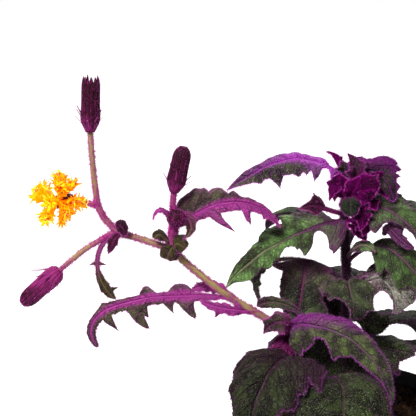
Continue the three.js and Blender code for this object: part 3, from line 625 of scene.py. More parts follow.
def smooth_route(points: Route, spacing: float = 1.0) -> Array:
    """Draws the smooth curve through a branch's points.

    Args:
        points: The points of the branch.
        spacing: The distance from one point of the curve to the next.

    Returns:
        The curve's points.
    """
    marks = np.array([2 * np.array(points[0]) - points[1], *points, 2 * np.array(points[-1]) - points[-2]])
    drawn = []
    for a, b, c, d in zip(marks, marks[1:], marks[2:], marks[3:]):
        pairs = ((a, b), (b, c), (c, d))
        knots = np.cumsum([0.0] + [math.sqrt(np.linalg.norm(q - p)) for p, q in pairs])
        steps = max(2, round(np.linalg.norm(c - b) / spacing))
        t = np.linspace(knots[1], knots[2], steps, endpoint=False)[:, None]
        first, second, third = (blend(p, q, knots[i], knots[i + 1], t) for i, (p, q) in enumerate(pairs))
        early = blend(first, second, knots[0], knots[2], t)
        late = blend(second, third, knots[1], knots[3], t)
        drawn.append(blend(early, late, knots[1], knots[2], t))
    return np.concatenate([*drawn, marks[-2][None]])


# Finishes

HAIR_MAGENTA = "a8208c"
HAIR_DARK = "44103a"
PATCH_SCALE = 160.0
GRAIN_SCALE = 900.0
# The strength of the florets' painted glow.
PAINTED_PETAL_GLOW = 0.22


class Surface(Graph):
    """One material: its nodes, and the shader that they feed."""

    def __init__(self, name: str) -> None:
        """Starts the material.

        Args:
            name: Its name.
        """
        self.material = bpy.data.materials.new(name)
        self.material.use_nodes = True
        super().__init__(self.material.node_tree)
        self.tree.nodes.clear()
        self.shader = self.add("ShaderNodeBsdfPrincipled")
        self.add("ShaderNodeOutputMaterial", {"Surface": self.shader.outputs[0]})

    def close(self, base: Socket, inputs: dict, bump: tuple[Socket, float, float] | None = None) -> Material:
        """Joins the colour, the bumps and the rest to the shader.

        Args:
            base: The colour.
            inputs: Values or sockets for the shader's other inputs, by name.
            bump: The bumps' height from 0 to 1, their strength, and their depth in metres.

        Returns:
            The material.
        """
        self.feed(self.shader, {"Base Color": base, **inputs})
        if bump:
            height, strength, depth = bump
            normal = self.add("ShaderNodeBump", {"Strength": strength, "Distance": depth, "Height": height})
            self.feed(self.shader, {"Normal": normal.outputs[0]})
        return self.material


@dataclass(frozen=True)
class LeafFinish:
    """How one kind of leaf looks.

    green and deep are the blade's light and dark patches, and deep is also painted shade in the grooves
    of its fine net. violet is its fur, vein its veins and under its under side. hair is the tint of the
    hairs and glint that of their painted highlights. density and fringe count the hairs on a square
    millimetre of blade and of rim. glints, veined, painted_sheen and rimmed say how strongly the painted
    glints, the veins, the violet painted as sheen where the blade turns away and the violet rim show, and
    band how wide that rim is.
    """

    slot: Slot
    green: str
    deep: str
    violet: str
    vein: str
    under: str
    hair: str
    glint: str
    density: float = 0.8
    fringe: float = 36.0
    length: float = 1.3
    glints: float = 0.3
    sheen: float = 0.1
    veined: float = 0.5
    painted_sheen: float = 0.8
    band: float = 0.5
    gloss: float = 0.15
    rimmed: float = 0.4
    title: str = ""

    def fur(self) -> Fur:
        """Gives the coat of hairs."""
        return Fur(self.density, self.length, 0.07, 0.5, self.fringe)

    def materials(self, veins: Tree, painted_glints: Tree) -> list[Material]:
        """Makes the upper side's and the under side's materials."""
        name = self.title or self.slot.value
        return [self._upper(f"{name}_upper", veins, painted_glints), self._under(f"{name}_under", veins)]

    def _upper(self, name: str, vein_tree: Tree, painted_glints: Tree) -> Material:
        """Makes the upper side: green between its veins, violet towards the edges and where it turns away.

        The violet where it turns away is painted sheen, its glints are painted highlights, and the dark in
        the grooves of its fine net is painted shade.

        Args:
            name: Its name.
            vein_tree: The effect of veins.
            painted_glints: The effect of painted hair glints.

        Returns:
            The material.
        """
        graph = Surface(name)
        place = graph.place()
        deep, violet, vein = colour(self.deep), colour(self.violet), colour(self.vein)
        veins = graph.add("ShaderNodeGroup", {"Place": graph.pattern()}, node_tree=vein_tree).outputs
        fine = graph.noise(place, GRAIN_SCALE, 2.0)
        blade = graph.mix(graph.rise(graph.noise(place, PATCH_SCALE), 0.38, 0.66), deep, colour(self.green))
        # Painted shade: the blade darkens toward deep in the grooves of its fine net.
        blade = graph.mix(graph.times(veins["Net"], 0.3), blade, deep)
        blade = graph.mix(graph.times(veins["Vein"], self.veined * 0.5), blade, vein)
        blade = graph.mix(graph.times(veins["Rib"], self.veined), blade, vein)
        spread = graph.plus(graph.times(graph.less(fine, 0.5), 0.6), graph.painted("flush"))
        # Painted sheen: the blade turns violet where it turns away from the camera, as velvet looks at a
        # slant.
        turned = graph.add("ShaderNodeLayerWeight", {"Blend": 0.5}).outputs["Facing"]
        painted_sheen = graph.times(graph.rise(turned, 0.35, 0.95), self.painted_sheen)
        painted_sheen = graph.times(painted_sheen, graph.rise(fine, 0.2, 0.6))
        flush_and_sheen = graph.maths("MAXIMUM", graph.rise(spread, 0.12, 0.95), painted_sheen)
        blade = graph.mix(flush_and_sheen, blade, violet)
        # Painted highlights: the glint tint is mixed in as flecks where hairs would catch the light.
        inputs = {"Colour": blade, "Glint": colour(self.glint), "Amount": self.glints}
        glints = graph.add("ShaderNodeGroup", inputs, node_tree=painted_glints).outputs
        margin = graph.times(graph.rise(graph.painted("margin"), 0.45, 1.0), self.rimmed)
        height = graph.plus(veins["Height"], graph.times(glints["Height"], 0.4))
        return graph.close(graph.mix(margin, glints["Colour"], colour(self.hair)), {
            "Roughness": 0.55, "Specular IOR Level": self.gloss, "Sheen Weight": self.sheen,
            "Sheen Roughness": 0.3, "Sheen Tint": violet,
        }, (height, 1.0, 0.001))

    def _under(self, name: str, vein_tree: Tree) -> Material:
        """Makes the under side: dark magenta with raised veins.

        Args:
            name: Its name.
            vein_tree: The effect of veins.

        Returns:
            The material.
        """
        graph = Surface(name)
        violet = colour(self.violet)
        veins = graph.add("ShaderNodeGroup", {"Place": graph.pattern()}, node_tree=vein_tree).outputs
        cloud = graph.rise(graph.noise(graph.place(), 300.0), 0.3, 0.7)
        base = graph.mix(graph.times(cloud, 0.4), colour(self.under), violet)
        marked = graph.maths("MAXIMUM", veins["Rib"], veins["Vein"])
        base = graph.mix(graph.times(marked, 0.4), base, violet)
        return graph.close(base, {
            "Roughness": 0.7, "Specular IOR Level": 0.2, "Sheen Weight": self.sheen, "Sheen Tint": violet,
        }, (graph.less(1.0, veins["Height"]), 0.5, 0.0003))


class Finishes:
    """Makes every material of the plant and keeps the effects that they share."""

    def __init__(self) -> None:
        """Builds the shared effects."""
        self.veins = vein_group()
        self.painted_glints = painted_glint_group()
        self.made: dict[object, list[Material]] = {}

    def leaf(self, finish: LeafFinish) -> list[Material]:
        """Gives a leaf finish's two materials, made once.

        Args:
            finish: The finish.

        Returns:
            The upper side's and the under side's.
        """
        if finish not in self.made:
            self.made[finish] = finish.materials(self.veins, self.painted_glints)
        return self.made[finish]

    def hair(self, tint: str) -> Material:
        """Gives the material of hairs of one colour, made once.

        Args:
            tint: Their colour.

        Returns:
            The material.
        """
        if tint not in self.made:
            graph = Surface(f"hair_{len(self.made)}")
            dark = colour(tint)
            pale = (*(min(1.0, c * 1.4 + 0.03) for c in dark[:3]), 1.0)
            base = graph.mix(graph.noise(graph.place(), 700.0), dark, pale)
            self.made[tint] = [graph.close(base, {"Roughness": 0.45})]
        return self.made[tint][0]

    def skin(self, name: str, core: str, flush: str, streak: str, scale: float) -> Material:
        """Makes a stem's or a bud's skin, streaked along its length.

        Args:
            name: Its name.
            core: Its tint where nothing is painted.
            flush: Its tint where flush is painted.
            streak: The tint of its streaks.
            scale: Streaks a millimetre round the piece.

        Returns:
            The material.
        """
        graph = Surface(name)
        stretched = graph.add("ShaderNodeMapping", {"Vector": graph.pattern(), "Scale": (0.12, scale, 1.0)})
        grain = graph.noise(stretched.outputs[0], 1.0, 4.0)
        cloud = graph.noise(graph.place(), 260.0)
        spread = graph.plus(graph.painted("flush"), graph.less(cloud, 0.5))
        base = graph.mix(graph.rise(spread, 0.15, 0.85), colour(core), colour(flush))
        base = graph.mix(graph.times(graph.rise(grain, 0.45, 0.7), 0.55), base, colour(streak))
        return graph.close(base, {
            "Roughness": 0.6, "Specular IOR Level": 0.1, "Sheen Weight": 0.04,
            "Sheen Tint": colour(HAIR_MAGENTA),
        }, (grain, 0.5, 0.0002))

    def petal(self, name: str, root: str, tip: str, ripe: str) -> Material:
        """Makes the florets' satin with a painted glow, an emission that stands in for light passing through.

        Args:
            name: Its name.
            root: The colour at a floret's root.
            tip: The colour at its tip.
            ripe: The colour of patches on a ripe one.

        Returns:
            The material.
        """
        graph = Surface(name)
        cloud = graph.noise(graph.place(), 500.0)
        base = graph.mix(graph.rise(graph.painted("flush"), 0.1, 0.8), colour(root), colour(tip))
        aged = graph.times(graph.painted("ripeness"), graph.rise(cloud, 0.35, 0.65))
        base = graph.mix(aged, base, colour(ripe))
        # Painted light: the florets emit a little of their own colour.
        inputs = {"Roughness": 0.45, "Emission Color": base, "Emission Strength": PAINTED_PETAL_GLOW}
        return graph.close(base, inputs, (cloud, 0.4, 0.0002))

    def peat(self, name: str, dark: str, light: str, scale: float) -> Material:
        """Makes damp peat or the crumbs on it.

        Args:
            name: Its name.
            dark: The colour of its hollows.
            light: The colour of its lumps.
            scale: How many lumps there are a metre.

        Returns:
            The material.
        """
        graph = Surface(name)
        place = graph.place()
        lumps = graph.noise(place, scale, 6.0)
        cells = graph.add("ShaderNodeTexVoronoi", {"Vector": place, "Scale": scale * 1.7}).outputs["Distance"]
        base = graph.mix(graph.rise(lumps, 0.42, 0.72), colour(dark), colour(light))
        base = graph.mix(graph.times(cells, 0.6), base, colour(dark))
        return graph.close(
            base, {"Roughness": 0.9, "Specular IOR Level": 0.2}, (graph.plus(lumps, cells), 0.8, 0.0006))

    def plastic(self, name: str, base: str, dust: str) -> Material:
        """Makes the pot's moulded plastic, with faint dust.

        Args:
            name: Its name.
            base: The plastic's colour.
            dust: The dust's colour.

        Returns:
            The material.
        """
        graph = Surface(name)
        place = graph.place()
        cloud = graph.noise(place, 60.0, 5.0)
        dusty = graph.times(graph.rise(cloud, 0.5, 0.85), 0.35)
        rough = graph.plus(0.34, graph.times(graph.rise(cloud, 0.35, 0.75), 0.22))
        return graph.close(
            graph.mix(dusty, colour(base), colour(dust)), {"Roughness": rough},
            (graph.noise(place, 2600.0, 2.0), 0.25, 0.0001))


YOUNG = LeafFinish(Slot.YOUNG, "320024", "080006", "70005c", "4a003a", "1c0016", "a01488", "b838a0",
    density=0.6, length=1.2, sheen=0, painted_sheen=0.3, glints=0.15, band=0.4, rimmed=0.6, gloss=0.05)
BUDDING = LeafFinish(Slot.YOUNG, "2c3c24", "121a10", "740c60", "3c2c30", "30042a", "8c2880", "90a080",
    density=0.6, sheen=0.02, painted_sheen=0.6, glints=0.35, band=0.6, rimmed=0.5, title="leaf_budding")
# Its hair tint is the hairs' own magenta, lightened as painted highlight where backlit hairs catch the light.
VIOLET = LeafFinish(Slot.VIOLET, "42472c", "1a1712", "a034a6", "602458", "480a3e", "c45cc0", "e6b0e2",
    density=0.6, sheen=0.1, painted_sheen=0.7, glints=0.5)
PLUM = LeafFinish(Slot.VIOLET, "3c3830", "1c141a", "681064", "4c2048", "3c0834", "861c84", "a880a0",
    density=0.5, sheen=0.02, painted_sheen=0.5, glints=0.2, rimmed=0.3, title="leaf_plum")
MOTTLED = LeafFinish(Slot.VIOLET, "5c6c38", "24261a", "7a2278", "603060", "480a3e", "984094", "b8b48c",
    density=0.6, sheen=0.02, painted_sheen=0.3, glints=0.5, rimmed=0.45, title="leaf_mottled")
MAGENTA = LeafFinish(Slot.VIOLET, "4a4c2e", "241e14", "962e80", "602050", "480a34", "a83c90", "d488c4",
    sheen=0.03, painted_sheen=0.8, glints=0.5, title="leaf_magenta")
AURICLE = LeafFinish(Slot.VIOLET, "46401e", "20180f", "862c6c", "5e5430", "5a1a48", "903878", "a09468",
    sheen=0.02, painted_sheen=0.5, glints=0.4, title="leaf_auricle")
MAROON = LeafFinish(Slot.VIOLET, "30061c", "14020c", "66124c", "501038", "2c0424", "8c2c72", "a85090",
    sheen=0.02, painted_sheen=0.5, glints=0.3, title="leaf_maroon")
GREEN = LeafFinish(Slot.GREEN, "688c4c", "262e1a", "5c2454", "847c62", "30102a", "6c3462", "b4b890",
    density=0.3, fringe=24, length=0.7, glints=0.45, sheen=0, painted_sheen=0.3)
# A darker copy of GREEN: painted shade for the leaves that sit deeper in shade.
SHADED_GREEN = replace(GREEN, green="527039", title="leaf_dusky")
FROSTED = LeafFinish(Slot.FROSTED, "a6a492", "38362c", "54183e", "86887a", "34041e", "a8709a", "f4ece8",
    density=1, length=1, glints=0.85, sheen=0.04, painted_sheen=0.4, rimmed=0.8)
DUSTED = LeafFinish(Slot.FROSTED, "505c38", "20261a", "5c2048", "4c4a3c", "2c041a", "84407a", "b4b098",
    density=0.8, length=1, glints=0.5, sheen=0.02, painted_sheen=0.4, title="leaf_dusted")
DARK = LeafFinish(Slot.DARK, "303e1c", "0c0e06", "380a2e", "34182a", "200418", "642460", "b4b88c",
    density=0.3, length=1.7, glints=0.65, sheen=0, painted_sheen=0.25)
SHADED = replace(DARK, green="283216", deep="0b0c06", violet="300a26", glints=0.3, title="leaf_shaded")


# Leaves

BLADE_THICKNESS = 0.4
STALK_RADIUS = 0.95
TIP_HALF_WIDTH = 0.25
TOOTH_PITCH = 3.4
SMALLEST_TOOTH = 0.3
COLUMN_SPACING = 0.6
COLUMNS = (24, 110)
ROWS = (6, 15)
RIB_FADE = 1.1
EDGE_THINNING = 0.35
RIB_DEPTH = 0.9
RIB_WIDTH = 0.6
GROOVE_WIDTH = 0.7
EDGE_FADE = 1.6
BASE_FADE = 1.3
EARLY_LOBES = ((0.4, 4, 0.08), (0.65, 3, 0.08))
MIDDLE_LOBES = ((0.42, 4, 0.08), (0.68, 3, 0.08))
SMALL_LOBES = ((0.45, 3, 0.08), (0.7, 2, 0.08))


@dataclass(frozen=True)
class Leaf:
    """One leaf: a flat outline of lobes and teeth, bent along its midrib.

    A lobe is (place along the midrib, reach in millimetres, half-span along the midrib), and a fourth number
    gives it a tip of its own: 1 is straight-sided, 2 is round. hook bends the left and right lobes' tips
    forward. face is the way that the upper side looks at base and tip. flush is how violet the base, tip,
    edge and midrib are, and lean adds to the right half. tuft holds smaller leaves from the same foot.
    """

    name: str
    finish: LeafFinish
    midrib: Route
    face: Route
    half_width: float = 7.0
    stalk: float = 0.15
    widest: float = 0.42
    blunt: float = 0.8
    curl: float = 40.0
    fold: float = 12.0
    ruffle: float = 0.0
    waves: float = 3.0
    sweep: float = 0.35
    hook: tuple[float, float] = (0.06, 0.06)
    sharp: float = 1.2
    left: Lobes = ()
    right: Lobes = ()
    teeth: float = 0.7
    quilt: float = 0.6
    pitch: float = 6.0
    flush: tuple[float, float, float, float] = (0.3, 0.1, 0.3, 0.2)
    lean: float = 0.0
    midrib_span: float = 0.7
    tuft: tuple["Leaf", ...] = ()

    def along(self, t: Array) -> Array:
        """Gives the midrib's points: a cubic through its four marks.

        Args:
            t: Places along the midrib, from 0 to 1.

        Returns:
            One row of three for each place.
        """
        marks = np.array(self.midrib, float)
        knots = np.linspace(0, 1, len(marks))
        result = np.zeros((*t.shape, 3))
        for i, mark in enumerate(marks):
            others = [k for j, k in enumerate(knots) if j != i]
            weight = np.prod([(t - k) / (knots[i] - k) for k in others], axis=0)
            result += weight[..., None] * mark
        return result

    def frame(self, t: Array) -> tuple[Array, Array, Array]:
        """Gives the midrib's points, and the ways up and across there.

        Args:
            t: Places along the midrib.

        Returns:
            The points, the ways up and the ways across, one row of three for each place.
        """
        step = 1e-3
        heading = unit(self.along(t + step) - self.along(t - step))
        share = np.clip(t, 0, 1)[..., None]
        facing = np.array(self.face[0]) * (1 - share) + np.array(self.face[1]) * share
        up = unit(facing - heading * np.sum(facing * heading, axis=-1, keepdims=True))
        return self.along(t), up, np.cross(heading, up)

    def length(self) -> float:
        """Gives the midrib's length."""
        marks = self.along(np.linspace(0, 1, 25))
        return float(np.linalg.norm(np.diff(marks, axis=0), axis=1).sum())

    def width(self, t: Array, lobes: Lobes, rng: random.Random) -> Array:
        """Gives the distance from the midrib to the edge.

        Args:
            t: Places along the midrib.
            lobes: The lobes of that side.
            rng: The source of the small teeth's sizes.

        Returns:
            The distance at each place.
        """
        share = np.clip((t - self.stalk) / (1 - self.stalk), 0, 1)
        bend = math.log(0.5) / math.log(self.widest)
        blade = self.half_width * np.sin(math.pi * share**bend) ** self.blunt
        width = np.maximum(blade, STALK_RADIUS + (TIP_HALF_WIDTH - STALK_RADIUS) * share)
        for place, reach, span, *own in lobes:
            away = np.abs(t - place) / span
            width = width + reach * np.maximum(0, 1 - away ** (own[0] if own else self.sharp))
        width = np.maximum(width, TIP_HALF_WIDTH)
        number = max(3, round(self.length() / TOOTH_PITCH))
        phase = t * number + rng.random()
        sizes = np.array([rng.uniform(SMALLEST_TOOTH, 1.0) for _ in range(number + 2)])
        saw = (phase % 1) ** 2 * sizes[np.clip(phase.astype(int), 0, number + 1)]
        toothed = np.clip(blade / self.half_width * 2 - 0.5, 0, 1) * np.clip((1 - share) * 8, 0, 1)
        return width + self.teeth * saw * toothed

    def columns(self, length: float) -> Array:
        """Gives the places of the mesh's columns, with one on the tip of each lobe.

        Args:
            length: The midrib's length.

        Returns:
            The places along the midrib, in order.
        """
        places = np.linspace(0, 1, int(np.clip(length / COLUMN_SPACING, *COLUMNS)))
        for place, *_ in (*self.left, *self.right):
            places[np.argmin(np.abs(places - place))] = place
        return np.sort(places)

    def rows(self) -> Array:
        """Gives the places of the mesh's rows, which stand closer near the edges.

        Returns:
            The places, from -1 at the left edge to 1 at the right.
        """
        number = int(np.clip(self.half_width * 1.2 + 3, *ROWS))
        spread = np.linspace(0, 1, number + 1)
        spread = 0.6 * spread + 0.4 * np.sin(spread * math.pi / 2)
        return np.concatenate([-spread[:0:-1], spread])

    def bent(self, t: Array, row: Array, width: Array, length: float) -> Array:
        """Bends the flat leaf along its midrib and across it.

        Args:
            t: The columns' places, as a column.
            row: The rows' places.
            width: The width at each of them.
            length: The midrib's length.

        Returns:
            The points of the blade's middle, columns by rows by three.
        """
        reach = width * np.abs(row)
        over = np.maximum(0, reach - self.half_width * 0.6)
        hook = np.where(row < 0, self.hook[0], self.hook[1])
        shift = (self.sweep * reach + hook * over**2) / length
        origin, up, across = self.frame(t + shift)
        bend = math.radians(self.curl) / np.maximum(self.half_width, width)
        fold = math.radians(self.fold)
        sideways = (math.sin(fold) - np.sin(fold - bend * reach)) / bend
        waving = np.sin(2 * math.pi * self.waves * t + np.sign(row)) * (reach / self.half_width) ** 2
        lift = (np.cos(fold - bend * reach) - math.cos(fold)) / bend + self.ruffle * waving
        return origin + across * (np.sign(row) * sideways)[..., None] + up * lift[..., None]

    def quilting(self, mm_along: Array, mm_across: Array, row: Array) -> Array:
        """Gives the height of the blade's quilting between its side veins.

        Args:
            mm_along: Millimetres along the midrib.
            mm_across: Millimetres from the midrib, less than 0 on the left.
            row: The rows' places.

        Returns:
            The height at each point.
        """
        phase = (mm_along - VEIN_SLANT * np.abs(mm_across)) / self.pitch
        swell = np.abs(np.sin(math.pi * phase)) ** 0.7
        taper = smoothstep(0.05, 0.3, np.abs(row)) * (1 - 0.7 * smoothstep(0.6, 1.0, np.abs(row)))
        groove = np.exp(-((mm_across / GROOVE_WIDTH) ** 2))
        return self.quilt * (swell * taper - 0.6 * groove)

    def flushed(self, t: Array, mm_across: Array, inside: Array) -> Array:
        """Gives how violet the leaf is.

        Args:
            t: The columns' places, as a column.
            mm_across: Millimetres from the midrib, less than 0 on the left.
            inside: Millimetres from the edge.

        Returns:
            A value from 0 to 1 for each point.
        """
        base, tip, edge, centre = self.flush
        flush = (
            base * (1 - t) ** BASE_FADE + tip * t
            + edge * np.exp(-inside / EDGE_FADE) + centre * np.exp(-((mm_across / self.midrib_span) ** 2))
            + self.lean * np.clip(mm_across / self.half_width, -1, 1)
        )
        return np.clip(flush, 0, 1)

    def shape(self) -> Shape:
        """Builds the leaf and the smaller ones from the same foot.

        Returns:
            The shape.
        """
        shape = Shape()
        for leaf in (self, *self.tuft):
            leaf.add_to(shape)
        return shape

    def add_to(self, shape: Shape) -> None:
        """Adds the leaf's painted sheet to a shape.

        Args:
            shape: The shape that takes it.
        """
        rng = random.Random(self.name)
        length = self.length()
        places = self.columns(length)
        row = self.rows()
        left, right = (self.width(places, lobes, rng)[:, None] for lobes in (self.left, self.right))
        width = np.where(row[None, :] < 0, left, right)
        reach = width * np.abs(row)
        t = places[:, None]
        middle = self.bent(t, row, width, length)
        normal = unit(np.cross(np.gradient(middle, axis=1), np.gradient(middle, axis=0)))
        mm_along = np.broadcast_to(t * length, reach.shape)
        mm_across = np.sign(row) * reach
        wobble = sum(
            rng.uniform(0.1, 0.3) * np.sin(
                mm_along * rng.uniform(0.15, 0.5) + mm_across * rng.uniform(-0.5, 0.5) + rng.uniform(0, 6))
            for _ in range(4)
        )
        stalkness = np.clip(1.3 - places / max(self.stalk, 0.05), 0, 1)[:, None]
        bumps = self.quilting(mm_along, mm_across, row) + wobble
        raised = bumps * (1 - stalkness) * np.clip(width / 4, 0, 1)
        middle = middle + normal * raised[..., None]
        blade = BLADE_THICKNESS * (1 - EDGE_THINNING * np.abs(row)) * np.ones_like(reach)
        rib = RIB_DEPTH * np.exp(-((mm_across / RIB_WIDTH) ** 2)) * np.clip(RIB_FADE - t, 0, 1)
        stalk = 2 * STALK_RADIUS * np.sqrt(np.clip(1 - row**2, 0.02, 1))
        half = (blade + (stalk - blade) * stalkness) / 2
        inside = width - reach
        shape.add_sheet(
            middle + normal * half[..., None],
            middle - normal * (half + rib * (1 - stalkness))[..., None],
            flush=self.flushed(t, mm_across, inside).ravel(),
            margin=np.exp(-inside / self.finish.band).ravel(),
            place=(np.stack([mm_along, mm_across], -1) / self.pitch).reshape(-1, 2),
        )


